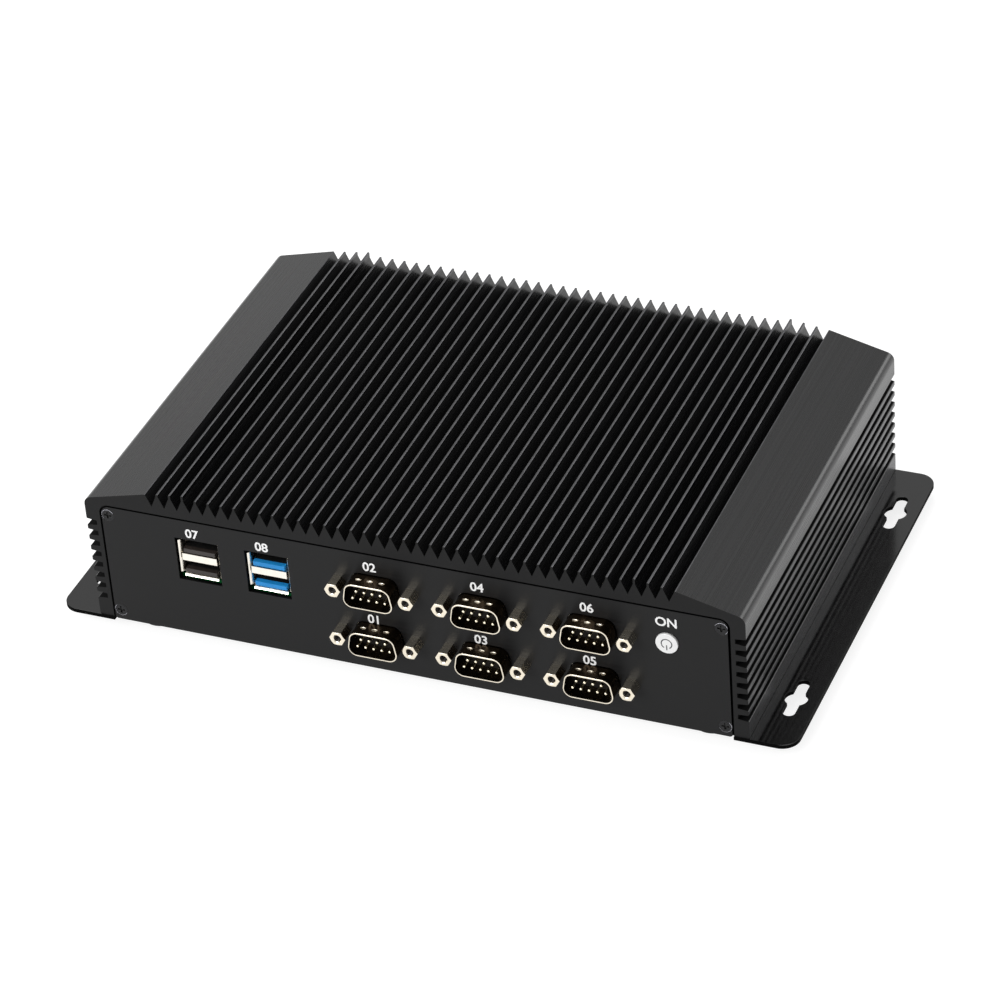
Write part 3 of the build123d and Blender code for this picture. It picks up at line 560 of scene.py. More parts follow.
class SmallPartSettings(bpy.types.PropertyGroup):
    """Screws, feet and the power button"""

    oxide: colour("Black oxide", "Colour of the black screws", "1e1e20")
    # Painted highlight: the light ring where a screw head's rounded rim catches light.
    glint: colour("Rim highlight", "Colour of the rubbed rim of a screw's head", "c4c4cc")
    # Painted shade: the near-black down in the screws' cross slots.
    recess: colour("Recess", "Colour down in the screws' cross slots", "030303")
    rubber: colour("Rubber", "Colour of the feet", "141414")
    white: colour("Button", "Colour of the power button", "fafafa")
    symbol: colour("Button symbol", "Colour of the sign on the power button", "55565a")
    recess_round: length("Recess rounding", "Radius of the edges of a screw's cross slot", 0.18)
    head_radius: length("Head radius", "Radius of a panel screw's head", 2.3)
    button_round: length("Button rounding", "Radius round the power button's face", 0.5)
    sign_radius: length("Sign radius", "Radius of the round part of the sign on the button", 1.9)
    sign_line: length("Sign line", "Width of the lines of the sign on the button", 0.36)
    sign_film: length("Sign film", "Thickness of the ink of the sign on the button", 0.02)


class PortSettings(bpy.types.PropertyGroup):
    """Serial ports, USB ports and the ports at the rear"""

    nickel: colour("Nickel", "Colour of the plated port shells", "ebe2d0")
    # Painted reflection: the dark brown that stands in for the black panel mirrored in a serial port's
    # sides.
    side: colour("Side reflection", "Colour of a serial port's sides, where drawing dulls the plating", "4a3d2e")
    tin: colour("Tin", "Colour of the folded shells", "f2ede2")
    gold: colour("Gold flash", "Colour of the contacts", "f4ead0")
    black: colour("Black insulator", "Colour of the black mouldings", "070707")
    brown: colour("Dark insulator", "Colour of the tongues of the slower ports", "2b2522")
    # Painted shade: the dark brown down in a jackscrew's threaded bore.
    bore: colour("Bore", "Colour of the oiled thread in a jackscrew", "2a2119")
    blue: colour("Blue insulator", "Colour of the tongues of the faster ports", "1c8bd2")
    video_blue: colour("Video insulator", "Colour of the video socket's moulding", "1f4fa3")
    pin_round: length("Pin tip rounding", "Radius of a pin's tip", 0.34)
    dimple_length: length("Dimple length", "Length of a dimple in a serial port's skirt", 2.1)
    dimple_width: length("Dimple width", "Width of a dimple in a serial port's skirt", 1.155)
    dimple_depth: length("Dimple depth", "Depth of a dimple in a serial port's skirt", 0.32)
    dimple_pitch: length("Dimple pitch", "Distance between two dimples", 4.0)
    screw_spacing: length("Jackscrew spacing", "Distance between the two jackscrews of a port", 25.0)
    screw_round: length("Jackscrew rounding", "Radius round a jackscrew's face", 0.06)
    bore_radius: length("Bore radius", "Radius of the threaded bore in a jackscrew", 1.25)
    thread_pitch: length("Thread pitch", "Pitch of the thread in a jackscrew", 0.64)
    thread_depth: length("Thread depth", "Height of that thread", 0.16)
    sill: length("Sill", "Height up to which a USB shell's upward faces lie in shade", 1.5)
    tongue_round: length("Tongue rounding", "Radius round the front of a USB tongue", 0.2)
    # Behind that front, a tongue is left black as painted shade under the shell's roof.
    tongue_front: length("Tongue front", "How much of a USB tongue shows its own colour", 1.8)
    wire_pitch: length("Wire pitch", "Distance between two contact wires of a network jack", 1.02)
    wire_width: length("Wire width", "Width of a contact wire", 0.46)
    wire_length: length("Wire length", "Length of a contact wire", 9.0)
    wire_bow: length("Wire bow", "How far a contact wire bows down into the jack", 1.6)
    wire_back: length("Wire place", "Distance from a jack's face back to the middle of its wires", 6.0)
    wire_drop: length("Wire drop", "Distance from a jack's top down to its wires' ends", 2.6)
    power_pin: length("Power pin", "Radius within which the power jack's pin lies", 1.3)
    display_round: length("Display port rounding", "Radius round the display port's mouth", 0.1)
    display_width: length("Display tongue width", "Width of the display port's tongue", 11.4)
    display_height: length("Display tongue height", "Height of the display port's tongue", 1.2)
    network_round: length("Network jack rounding", "Radius round a network jack's mouth", 0.12)
    network_wall: length("Network jack wall", "Thickness of a network jack's shell", 0.4)


class PrintSettings(bpy.types.PropertyGroup):
    """Printed numbers"""

    ink: colour("Ink", "Colour of the printed numbers", "ffffff")
    height: length("Print size", "Size of the printed numbers", 4.6)
    bold: length("Print weight", "How far the numbers' strokes are thickened", 0.1)
    film: length("Ink film", "Thickness of the printed ink", 0.02)
    rise: length("Print height", "Height of the upper row of numbers over the ground", 45.4)
    lift: length("Print lift", "Distance from a lower serial port up to its number", 6.3)
    shift: length("Print shift", "How far a number stands to the left of its port's middle", 1.2)
    upper_row: length("Upper row", "Height over the ground that only the upper ports' middles pass", 30.0)


class InsideSettings(bpy.types.PropertyGroup):
    """Boards and other parts behind the panels"""

    resist: colour("Solder resist", "Colour of the boards", "0f5a2c")
    aluminium: colour("Aluminium", "Colour of the heat block", "d4d5d8")
    zinc: colour("Zinc", "Colour of the pillars and their screws", "c9c8c0")
    cable: colour("Cable", "Colour of the flat cable", "9fa2a6")
    pad: colour("Thermal pad", "Colour of the thermal pad", "9aa4ad")
    chip: colour("Chip", "Colour of the processor's package", "1f2023")
    cell: colour("Cell", "Colour of the coin cell", "d8d8d6")


class StudioSettings(bpy.types.PropertyGroup):
    """Camera, floor and lights"""

    place: bpy.props.FloatVectorProperty(
        name="Camera place", description="Where the camera stands", size=3, subtype="TRANSLATION",
        default=(463.592 * MM, -1027.893 * MM, 818.013 * MM))
    azimuth: bpy.props.FloatProperty(
        name="Azimuth", description="Turn of the camera round the computer", subtype="ANGLE",
        default=math.radians(24.282))
    elevation: bpy.props.FloatProperty(
        name="Elevation", description="Angle that the camera looks down at", subtype="ANGLE",
        default=math.radians(35.204))
    roll: bpy.props.FloatProperty(
        name="Roll", description="Tilt of the camera about its line of sight", subtype="ANGLE",
        default=math.radians(-4.502))
    lens: bpy.props.FloatProperty(
        name="Lens", description="Focal length in millimetres", default=150.65, subtype="DISTANCE_CAMERA")
    film_width: bpy.props.FloatProperty(
        name="Film width", description="Width of the camera's sensor in millimetres", default=36.0)
    floor: colour("Floor", "Colour of the floor", "a8a8a8")
    floor_glow: bpy.props.FloatProperty(
        name="Floor glow", description="Light that the floor shows to the camera and in gloss", default=0.8)
    horizon: bpy.props.FloatProperty(
        name="Horizon", description="Rise of a direction above which gloss's white sky dims", default=0.1)
    zenith: bpy.props.FloatProperty(
        name="Zenith", description="Rise of a direction above which that sky is dimmest", default=0.33)
    ambient: bpy.props.FloatProperty(
        name="Ambient", description="Strength of the light from all round", default=0.45)
    overhead: bpy.props.FloatProperty(
        name="Overhead", description="Brightness that gloss shows of the sky overhead", default=0.6)
    key: bpy.props.FloatProperty(
        name="Softbox", description="Power of the softbox overhead, in watts", default=6.0)
    back: bpy.props.FloatProperty(
        name="Back light", description="Power of the light behind, in watts", default=3.0)
    fill: bpy.props.FloatProperty(
        name="Fill", description="Power of the light at the front, in watts", default=12.0)


# Housing, panels and plate

class PC_OT_housing(bpy.types.Operator):
    """Round the fins' tips and the housing's long edges, and anodise it"""

    bl_idname = "pc.housing"
    bl_label = "Housing"

    def execute(self, context):
        case = context.scene.pc_case
        low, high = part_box("housing")
        panel_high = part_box("front_panel")[1]
        gap = context.scene.pc_panel.gap + MERGE
        tips = high.z - case.fin_band

        def on_step(middle, line):
            inside = abs(middle.x) < panel_high.x + gap and middle.z < panel_high.z + gap
            return high.y - abs(middle.y) < MERGE and inside and middle.z > low.z + case.step_round

        housing = cad_copy("finned_housing", "housing")
        round_edges(housing, case.fin_round, lambda middle, line: abs(line.y) > ALONG and middle.z > tips, 3)
        round_edges(housing, case.edge_round,
                    lambda middle, line: abs(line.y) > ALONG and abs(middle.x) > high.x - MERGE, 3)
        round_edges(housing, case.step_round, on_step, 1)
        finishes = [
            anodised_extrusion(case), milled_end_with_painted_shade(case), painted_highlight_metal("worn_fin_tip", case.tip_highlight),
            painted_highlight_metal("worn_side_lip", case.lip_highlight), groove_anodise_painted_shade(case),
            shadow_gap("broken_step_edge", case.anodise),
        ]
        hand_over(housing, finishes, ["housing"])
        fins = high.x - case.shoulder
        groove = high.x - case.side_groove
        lip = high.x - case.edge_round - MERGE
        reach = gap + case.step_round
        end_shade, tip_highlight, lip_highlight, groove_shade, step_shadow = range(1, len(finishes))

        # Painted highlight: only the tips' faces that turn upwards and not to the left get the brighter
        # metal.
        def on_lit_tip(middle, normal):
            lit_side = normal.x > -0.2 and normal.z > 0.3
            return lit_side and middle.z > tips and abs(middle.x) < fins

        def in_step_shadow(middle, normal):
            beside = abs(middle.x) < panel_high.x + reach and middle.z < panel_high.z + reach
            return beside and abs(middle.y) > high.y - 1.3 * case.step_round and abs(normal.y) < ALONG

        paint(housing, tip_highlight, on_lit_tip)
        # Painted highlight: the outermost faces of the side lips get the brighter metal.
        paint(housing, lip_highlight,
              lambda middle, normal: abs(middle.x) > high.x - MERGE and middle.z < case.lips)
        # Painted shade: the faces down in the side grooves get the darker matt finish.
        paint(housing, groove_shade,
              lambda middle, normal: groove < abs(middle.x) < lip and case.foot < middle.z < case.lips)
        # Painted shade: the end faces get a darker copy of the anodise.
        paint(housing, end_shade, lambda middle, normal: abs(normal.y) > ALONG)
        # Painted shadow: the broken edge beside each end panel gets the dark matt finish.
        paint(housing, step_shadow, in_step_shadow)
        return {"FINISHED"}


def map_brushing(piece):
    """A UV map whose U runs upwards, across the brushing, which is the way that highlights stretch."""
    layer = piece.data.uv_layers.new(name="brushing")
    for loop in piece.data.loops:
        place = piece.data.vertices[loop.vertex_index].co
        layer.uv[loop.index].vector = (place.z, place.x)


class PC_OT_panels(bpy.types.Operator):
    """Break the edges of both end panels and of their openings, and brush them"""

    bl_idname = "pc.panels"
    bl_label = "Panels"

    def execute(self, context):
        panel = context.scene.pc_panel
        finishes = [brushed_anodise(panel), shadow_gap("sawn_panel_rim", panel.anodise)]
        for node, face in (("front_panel", FRONT), ("rear_panel", REAR)):
            sheet = cad_copy(f"brushed_{node}", node)
            if face == REAR:
                cut_in_triangles(sheet)
            round_edges(sheet, panel.edge_round, lambda middle, line: abs(middle.y - face) < MERGE)
            map_brushing(sheet)
            hand_over(sheet, finishes, [node])
            low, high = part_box(node)
            rim = panel.edge_round
            # Painted shadow: the panel's rounded rim at its sides and top gets the dark matt finish beside
            # the gap.
            paint(sheet, 1, lambda middle, normal: abs(normal.y) < ALONG and (
                min(middle.x - low.x, high.x - middle.x) < rim or high.z - middle.z < rim))
        return {"FINISHED"}


class PC_OT_base_plate(bpy.types.Operator):
    """Round the base plate's cut edges and powder-coat it"""

    bl_idname = "pc.base_plate"
    bl_label = "Base plate"

    def execute(self, context):
        settings = context.scene.pc_plate
        low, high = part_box("base_plate")
        plate = cad_copy("coated_base_plate", "base_plate")
        round_edges(plate, settings.edge_round,
                    lambda middle, line: min(middle.z - low.z, high.z - middle.z) < MERGE)
        finishes = [powder_coat(settings), shadow_gap("thinly_coated_edge", settings.coat)]
        hand_over(plate, finishes, ["base_plate"])
        # Painted shade: every edge face of the plate, outside and in its holes, gets the dark matt finish.
        paint(plate, 1, lambda middle, normal: abs(normal.z) < 0.5)
        return {"FINISHED"}


class PC_OT_feet(bpy.types.Operator):
    """Mould the four rubber feet"""

    bl_idname = "pc.feet"
    bl_label = "Feet"

    def execute(self, context):
        rubber = moulded_rubber(context.scene.pc_small)
        for node in sorted(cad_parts):
            if node.startswith("rubber_foot"):
                hand_over(cad_copy(f"moulded_{node}", node), [rubber], [node])
        return {"FINISHED"}


class PC_OT_screws(bpy.types.Operator):
    """Blacken the panels' and the base plate's screws and round their cross slots"""

    bl_idname = "pc.screws"
    bl_label = "Screws"

    def execute(self, context):
        small = context.scene.pc_small
        finishes = [black_oxide("black_oxide_steel", small.oxide), screen_ink("dark_recess", small.recess),
                    black_oxide("rubbed_steel_rim", small.glint)]
        plate_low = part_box("base_plate")[0].z
        heads = {
            "panel_screws": lambda middle, line: min(abs(middle.y - FRONT), abs(middle.y - REAR)) < MERGE,
            "base_screws": lambda middle, line: abs(middle.z - plate_low) < MERGE,
        }
        for node, on_head in heads.items():
            screws = cad_copy(f"black_{node}", node)
            round_edges(screws, small.recess_round, on_head)
            hand_over(screws, finishes, [node])
            # Painted shade: every face of a screw off its head's face, the cross slot above all, gets the
            # near-black.
            paint(screws, 1, lambda middle, normal: not on_head(middle, normal))
            low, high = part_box(node)
            rim = small.head_radius - small.recess_round
            heads_x = high.x - small.head_radius
            heads_z = (low.z + small.head_radius, high.z - small.head_radius)
            # Painted highlight: the rim faces of the panel screws' heads that turn frontwards get the bright
            # steel.
            paint(screws, 2, lambda middle, normal: node == "panel_screws" and abs(normal.y) > 0.3
                  and not on_head(middle, normal)
                  and min(math.hypot(abs(middle.x) - heads_x, middle.z - z) for z in heads_z) > rim)
        return {"FINISHED"}


# Serial ports and their jackscrews

def press_dimples(shell, ports):
    """Presses a row of dimples into the upper and the lower side of a serial port's skirt."""
    low, high = skirt_box(shell)
    depth_middle = (low.y + FRONT) / 2
    for side, height in ((1, high.z), (-1, low.z)):
        for place in (-1, 0, 1):
            bpy.ops.object.select_all(action="DESELECT")
            x = (low.x + high.x) / 2 + place * ports.dimple_pitch
            bpy.ops.mesh.primitive_uv_sphere_add(segments=24, ring_count=12, radius=1.0,
                                                 location=(x, depth_middle, height))
            size = (ports.dimple_length / 2, ports.dimple_width / 2, ports.dimple_depth)
            cut_with(shell, new_piece("dimple", size))


def skirt_box(shell):
    """Lowest and highest corner of what stands out of the front panel."""
    points = [vertex.co for vertex in shell.data.vertices if vertex.co.y < FRONT]
    low = Vector(min(point[axis] for point in points) for axis in range(3))
    high = Vector(max(point[axis] for point in points) for axis in range(3))
    return low, high


class PC_OT_serial_ports(bpy.types.Operator):
    """Press one serial port's shell, mould its insulator, and copy both to all six places"""

    bl_idname = "pc.serial_ports"
    bl_label = "Serial ports"

    def execute(self, context):
        ports = context.scene.pc_ports
        first = centre("serial_shell_1")
        shell = cad_copy("nickel_serial_shell_1", "serial_shell_1")
        press_dimples(shell, ports)
        core = cad_copy("serial_insulator_1", "serial_pin_block_1")
        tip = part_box("serial_pin_block_1")[0].y
        round_edges(core, ports.pin_round, lambda middle, line: middle.y - tip < MERGE, 4)
        plating = [shared("nickel_plated_shell", bright_plate, ports.nickel, 0.3),
                   bright_plate("drawn_nickel_side", ports.side, 0.26)]
        mouldings = [shared("black_moulded_insulator", moulded_plastic, ports.black),
                     shared("gold_flashed_contact", gold_flash, ports.gold)]
        for number in range(2, 7):
            step = Matrix.Translation(centre(f"serial_shell_{number}") - first)
            next_shell = copy_moved(shell, f"nickel_serial_shell_{number}", step)
            next_core = copy_moved(core, f"serial_insulator_{number}", step)
            self.finish(ports, next_shell, next_core, number, plating, mouldings)
        self.finish(ports, shell, core, 1, plating, mouldings)
        return {"FINISHED"}

    def finish(self, ports, shell, core, number, plating, mouldings):
        """Gives one port its materials."""
        hand_over(shell, plating, [f"serial_shell_{number}"])
        low, high = skirt_box(shell)
        reach = ports.dimple_pitch + 0.4 * ports.dimple_length
        middle = (low.x + high.x) / 2

        # Painted reflection: the skirt's sides in front of the panel, apart from the dimples, get the dark
        # brown.
        def in_side_reflection(place, normal):
            depth = min(high.z - place.z, place.z - low.z)
            in_dimple = MERGE < depth < ports.dimple_depth and abs(place.x - middle) < reach
            return place.y < FRONT and abs(normal.y) < 0.5 and not in_dimple

        paint(shell, 1, in_side_reflection)
        hand_over(core, mouldings, [f"serial_pin_block_{number}"])
        paint(core, 1, lambda place, normal: place.y < FRONT - MERGE)


def cut_thread(ports, start):
    """A screw thread's ridge along Y, standing inwards from a bore round the origin."""
    bpy.ops.object.select_all(action="DESELECT")
    bpy.ops.mesh.primitive_circle_add(vertices=3, radius=ports.thread_depth, fill_type="NOTHING",
                                      location=(ports.bore_radius, start, 0),
                                      rotation=(0, 0, math.radians(90)))
    thread = new_piece("thread")
    shape_with(thread, "SCREW", axis="Y", angle=math.tau, screw_offset=ports.thread_pitch,
               iterations=THREAD_TURNS, steps=THREAD_STEPS, render_steps=THREAD_STEPS,
               use_normal_calculate=True)
    with editing(thread):
        bpy.ops.mesh.select_all(action="SELECT")
        bpy.ops.mesh.remove_doubles(threshold=MERGE)
        bpy.ops.mesh.fill_holes(sides=3)
        bpy.ops.mesh.select_all(action="SELECT")
        bpy.ops.mesh.normals_make_consistent(inside=False)
    return thread


class PC_OT_jackscrews(bpy.types.Operator):
    """Round the jackscrews' hexagons and cut the thread in each"""

    bl_idname = "pc.jackscrews"
    bl_label = "Jackscrews"

    def execute(self, context):
        ports = context.scene.pc_ports
        screws = cad_copy("turned_jackscrews", "jackscrews")
        low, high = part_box("jackscrews")
        ends = (low.y, high.y)
        round_edges(screws, ports.screw_round,
                    lambda middle, line: min(abs(middle.y - end) for end in ends) < MERGE)
        half = ports.screw_spacing / 2
        serial = [centre(f"serial_shell_{number}") for number in range(1, 7)]
        video = centre("video_shell")
        axes = [(port.x + side * half, port.z, 0) for port in serial for side in (-1, 1)]
        axes += [(video.x + side * half, video.z, math.pi) for side in (-1, 1)]
        thread = cut_thread(ports, low.y + ports.thread_pitch)
        places = [Matrix.Translation((x, 0, z)) @ Matrix.Rotation(turn, 4, "Z") for x, z, turn in axes]
        threads = [copy_moved(thread, "thread", place) for place in places]
        bpy.data.objects.remove(thread)
        screws = join_all("turned_jackscrews", [screws, *threads])
        finishes = [turned_nickel(ports.nickel), oiled_thread(ports.bore)]
        hand_over(screws, finishes, ["jackscrews"])

        def in_bore(place, normal):
            away = min(math.hypot(place.x - x, place.z - z) for x, z, turn in axes)
            return away < ports.bore_radius + SLACK and abs(place.y) < high.y - FACE_DEPTH

        # Painted shade: the bore's thread faces behind the face get the dark brown.
        paint(screws, 1, in_bore)
        return {"FINISHED"}


# USB ports

class PC_OT_usb_ports(bpy.types.Operator):
    """Fold one stack's shell, mould its tongues with their coloured fronts, and copy both"""

    bl_idname = "pc.usb_ports"
    bl_label = "USB ports"

    def execute(self, context):
        ports = context.scene.pc_ports
        shell, core = self.model_stack(ports)
        tin = [shared("tin_plated_shell", bright_plate, ports.tin, 0.24),
               bright_plate("tin_plated_sill", shade(ports.tin, 0.06), 0.4)]
        black = shared("black_moulded_insulator", moulded_plastic, ports.black)
        blue = moulded_plastic("blue_moulded_insulator", ports.blue, 0.42)
        brown = moulded_plastic("brown_moulded_tongue", ports.brown, 0.42)
        finishes = {"front_1": (brown, "black_insulator"), "front_2": (blue, "blue_insulator"),
                    "rear_1": (brown, "black_insulator"), "rear_2": (brown, "black_insulator")}
        first = centre("usb_shell_front_1")
        for place, (plastic, slot) in finishes.items():
            middle = centre(f"usb_shell_{place}")
            step = Matrix.Translation(middle - first)
            if place.startswith("rear"):
                turn = Matrix.Rotation(math.pi, 4, "Z")
                step = Matrix.Translation(middle) @ turn @ Matrix.Translation(-first)
            folded = copy_moved(shell, f"folded_usb_shell_{place}", step)
            hand_over(folded, tin, [f"usb_shell_{place}"])
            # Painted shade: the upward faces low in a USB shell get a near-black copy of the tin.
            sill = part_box(f"usb_shell_{place}")[0].z + ports.sill
            paint(folded, 1, lambda middle, normal: middle.z < sill and normal.z > 0.9)
            tongues = copy_moved(core, f"usb_insulator_{place}", step)
            hand_over(tongues, [black, plastic], [f"usb_tongues_{place}"])
            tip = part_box(f"usb_tongues_{place}")[1 if place.startswith("rear") else 0].y
            # Only the front of each tongue gets its colour: the tongue behind is black as painted shade, and
            # the block behind is black as moulded.
            paint(tongues, 1, lambda middle, normal: abs(middle.y - tip) < ports.tongue_front)
        bpy.data.objects.remove(shell)
        bpy.data.objects.remove(core)
        return {"FINISHED"}

    def model_stack(self, ports):
        """The shell and the tongues of the first stack."""
        shell = cad_copy("usb_shell", "usb_shell_front_1")
        core = cad_copy("usb_core", "usb_tongues_front_1")
        tongue_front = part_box("usb_tongues_front_1")[0].y
        with editing(core, "FACE"):
            bpy.ops.mesh.select_all(action="SELECT")
            bpy.ops.mesh.bisect(plane_co=(0, tongue_front + ports.tongue_front, 0), plane_no=(0, 1, 0))
        round_edges(core, ports.tongue_round, lambda middle, line: middle.y - tongue_front < MERGE)
        return shell, core


# Power button

class PC_OT_power_button(bpy.types.Operator):
    """Turn the power button's cap and print a plain on-off sign on it"""

    bl_idname = "pc.power_button"
    bl_label = "Power button"

    def execute(self, context):
        small = context.scene.pc_small
        low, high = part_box("power_button")
        cap = cad_copy("white_button_cap", "power_button")
        hand_over(cap, [gloss_plastic(small)], ["power_button"], "button")
        sign = self.print_sign(small, Vector(((low.x + high.x) / 2, low.y, (low.z + high.z) / 2)))
        hand_over(sign, [screen_ink("grey_button_print", small.symbol)], [], "button")
        return {"FINISHED"}

    def print_sign(self, small, middle):
        """A broken ring and a bar across its gap, thin as ink."""
        film = small.sign_film
        half_gap = 0.45 * small.sign_radius
        bar_place = -0.75 * small.sign_radius
        bpy.ops.object.select_all(action="DESELECT")
        bpy.ops.mesh.primitive_circle_add(vertices=72, radius=small.sign_radius, fill_type="NGON",
                                          location=(0, 0, 0))
        ring = new_piece("ring")
        with editing(ring, "FACE"):
            bpy.ops.mesh.select_all(action="SELECT")
            bpy.ops.mesh.inset(thickness=small.sign_line)
            bpy.ops.mesh.delete(type="FACE")
            choose_faces(ring, lambda place, normal: place.y < 0 and abs(place.x) < half_gap)
            bpy.ops.mesh.delete(type="FACE")
        bpy.ops.object.select_all(action="DESELECT")
        bpy.ops.mesh.primitive_plane_add(size=1, location=(0, bar_place, 0))
        bar = new_piece("bar", (small.sign_line, small.sign_radius, 1))
        sign = join_all("on_off_sign", [ring, bar])
        shape_with(sign, "SOLIDIFY", thickness=film, offset=1.0)
        sign.data.transform(Matrix.Translation(middle + Vector((0, -film / 4, 0)))
                            @ Matrix.Rotation(math.radians(90), 4, "X"))
        return sign


# Rear ports

def bowed_leaf(name, middle, size, rise, thickness):
    """A thin strip of size (x, y), bowed by a rise at its middle."""
    bpy.ops.object.select_all(action="DESELECT")
    bpy.ops.mesh.primitive_grid_add(x_subdivisions=1, y_subdivisions=8, size=1, location=middle)
    leaf = new_piece(name, (size[0], size[1], 1))
    with editing(leaf, "VERT"):
        choose_points(leaf, lambda point: abs(point.y - middle[1]) < 0.1 * size[1])
        bpy.ops.transform.translate(value=(0, 0, rise), use_proportional_edit=True,
                                    proportional_edit_falloff="SMOOTH", proportional_size=size[1] / 2)
    shape_with(leaf, "SOLIDIFY", thickness=thickness, offset=0.0)
    return leaf


class PC_OT_rear_ports(bpy.types.Operator):
    """Finish the power, video, display, network and sound ports of the rear panel"""

    bl_idname = "pc.rear_ports"
    bl_label = "Rear ports"

    def execute(self, context):
        ports = context.scene.pc_ports
        nickel = shared("nickel_plated_shell", bright_plate, ports.nickel, 0.3)
        tin = shared("tin_plated_shell", bright_plate, ports.tin, 0.24)
        gold = shared("gold_flashed_contact", gold_flash, ports.gold)
        black = shared("black_moulded_insulator", moulded_plastic, ports.black)
        video_blue = moulded_plastic("video_blue_insulator", ports.video_blue, 0.42)
        shell = cad_copy("nickel_video_shell", "video_shell")
        hand_over(shell, [nickel], ["video_shell"])
        hand_over(cad_copy("video_insulator", "video_socket_block"), [video_blue],
                  ["video_socket_block"])
        self.finish_power(ports, black, nickel)
        self.finish_display(ports, tin, black)
        self.finish_network(ports, tin, black, gold)
        sound = cad_copy("sound_socket", "audio_jack")
        hand_over(sound, [black], ["audio_jack"])
        return {"FINISHED"}

    def finish_power(self, ports, black, nickel):
        """The power jack, its pin plated."""
        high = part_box("power_jack")[1]
        axis = centre("power_jack")
        jack = cad_copy("power_socket", "power_jack")
        hand_over(jack, [black, nickel], ["power_jack"])

        def on_pin(place, normal):
            away = math.hypot(place.x - axis.x, place.z - axis.z)
            return away < ports.power_pin and place.y < high.y - FACE_DEPTH

        paint(jack, 1, on_pin)

    def finish_display(self, ports, tin, black):
        """The display port's shell, its tongue black."""
        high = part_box("hdmi_port")[1]
        middle = centre("hdmi_port")
        port = cad_copy("display_port_shell", "hdmi_port")
        round_edges(port, ports.display_round, lambda place, line: high.y - place.y < MERGE)
        hand_over(port, [tin, black], ["hdmi_port"])

        def on_tongue(place, normal):
            near_x = abs(place.x - middle.x) < ports.display_width / 2
            near_z = abs(place.z - middle.z) < ports.display_height / 2
            return near_x and near_z and place.y < high.y - FACE_DEPTH

        paint(port, 1, on_tongue)

    def finish_network(self, ports, tin, black, gold):
        """The network jacks, black inside, with their contact wires."""
        for number in (1, 2):
            node = f"lan_port_{number}"
            low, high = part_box(node)
            port = cad_copy(f"network_jack_{number}", node)
            round_edges(port, ports.network_round, lambda place, line: high.y - place.y < MERGE)
            hand_over(port, [tin, black], [node])
            wall = ports.network_wall
            paint(port, 1, lambda place, normal: all(
                low[axis] + wall < place[axis] < high[axis] - wall for axis in range(3)))
            middle = Vector(((low.x + high.x) / 2, high.y - ports.wire_back, high.z - ports.wire_drop))
            size = (ports.wire_width, ports.wire_length)
            wires = []
            for place in range(WIRES_IN_A_JACK):
                aside = Vector(((place - (WIRES_IN_A_JACK - 1) / 2) * ports.wire_pitch, 0, 0))
                wires.append(bowed_leaf("wire", middle + aside, size, -ports.wire_bow, ports.wire_width / 2))
            hand_over(join_all(f"network_wires_{number}", wires), [gold])


# Printing

class PC_OT_printing(bpy.types.Operator):
    """Print plain numbers over the ports, and ON over the button"""

    bl_idname = "pc.printing"
    bl_label = "Printing"

    def execute(self, context):
        prints = context.scene.pc_print
        ink = screen_ink("white_screen_ink", prints.ink)
        for number in range(1, 7):
            place = centre(f"serial_shell_{number}")
            height = prints.rise if place.z > prints.upper_row else place.z + prints.lift
            x = place.x - prints.shift
            self.print_text(prints, ink, f"port_number_{number}", f"0{number}", x, height)
        for number, node in ((7, "usb_shell_front_1"), (8, "usb_shell_front_2")):
            x = centre(node).x - prints.shift
            self.print_text(prints, ink, f"port_number_{number}", f"0{number}", x, prints.rise)
        self.print_text(prints, ink, "switch_print", "ON", centre("power_button").x, prints.rise)
        return {"FINISHED"}

    def print_text(self, prints, ink, name, words, x, z):
        """Words as a thin film of ink on the front panel, round a middle."""
        bpy.ops.object.select_all(action="DESELECT")
        bpy.ops.object.text_add()
        text = bpy.context.object
        text.data.body = words
        text.data.size = prints.height
        text.data.align_x = "CENTER"
        text.data.align_y = "CENTER"
        text.data.extrude = prints.film
        text.data.offset = prints.bold
        bpy.ops.object.convert(target="MESH")
        print_mesh = bpy.context.object
        print_mesh.name = name
        print_mesh.data.name = name
        upright = Matrix.Rotation(math.radians(90), 4, "X")
        print_mesh.data.transform(Matrix.Translation((x, FRONT, z)) @ upright)
        with editing(print_mesh):
            bpy.ops.mesh.select_all(action="SELECT")
            bpy.ops.mesh.remove_doubles(threshold=MERGE)
        hand_over(print_mesh, [ink])


# What stands inside

class PC_OT_inside(bpy.types.Operator):
    """Give the boards, the cards and the parts behind the panels their finishes"""

    bl_idname = "pc.inside"
    bl_label = "Inside"

    def execute(self, context):
        inside = context.scene.pc_inside
        board = solder_resist(inside.resist)
        black = shared("black_moulded_insulator", moulded_plastic, context.scene.pc_ports.black)
        aluminium = machined_aluminium(inside.aluminium)
        zinc = bright_plate("zinc_plated_pillar", inside.zinc, 0.3)
        cable = moulded_plastic("grey_flat_cable", inside.cable, 0.5)
        pad = moulded_plastic("soft_thermal_pad", inside.pad, 0.8)
        chip = moulded_plastic("black_chip_package", inside.chip, 0.6)
        cell = bright_plate("bright_cell_steel", inside.cell, 0.22)
        finishes = {
            "serial_board": board, "mainboard": board, "switch_board": board, "memory_module": board,
            "storage_module": board, "serial_cable": cable, "thermal_pad": pad, "processor": chip,
            "heat_block": aluminium, "heat_block_screws": zinc, "board_screws": zinc,
            "mainboard_pillars": zinc, "switch_pillars": zinc, "coin_cell": cell,
            "memory_socket": black, "storage_socket": black, "coin_cell_holder": black,
            "key_switch": black, "switch_plunger": black,
        }
        for node, finish in finishes.items():
            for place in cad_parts[node].material_slots:
                place.material = finish
        return {"FINISHED"}


# Studio

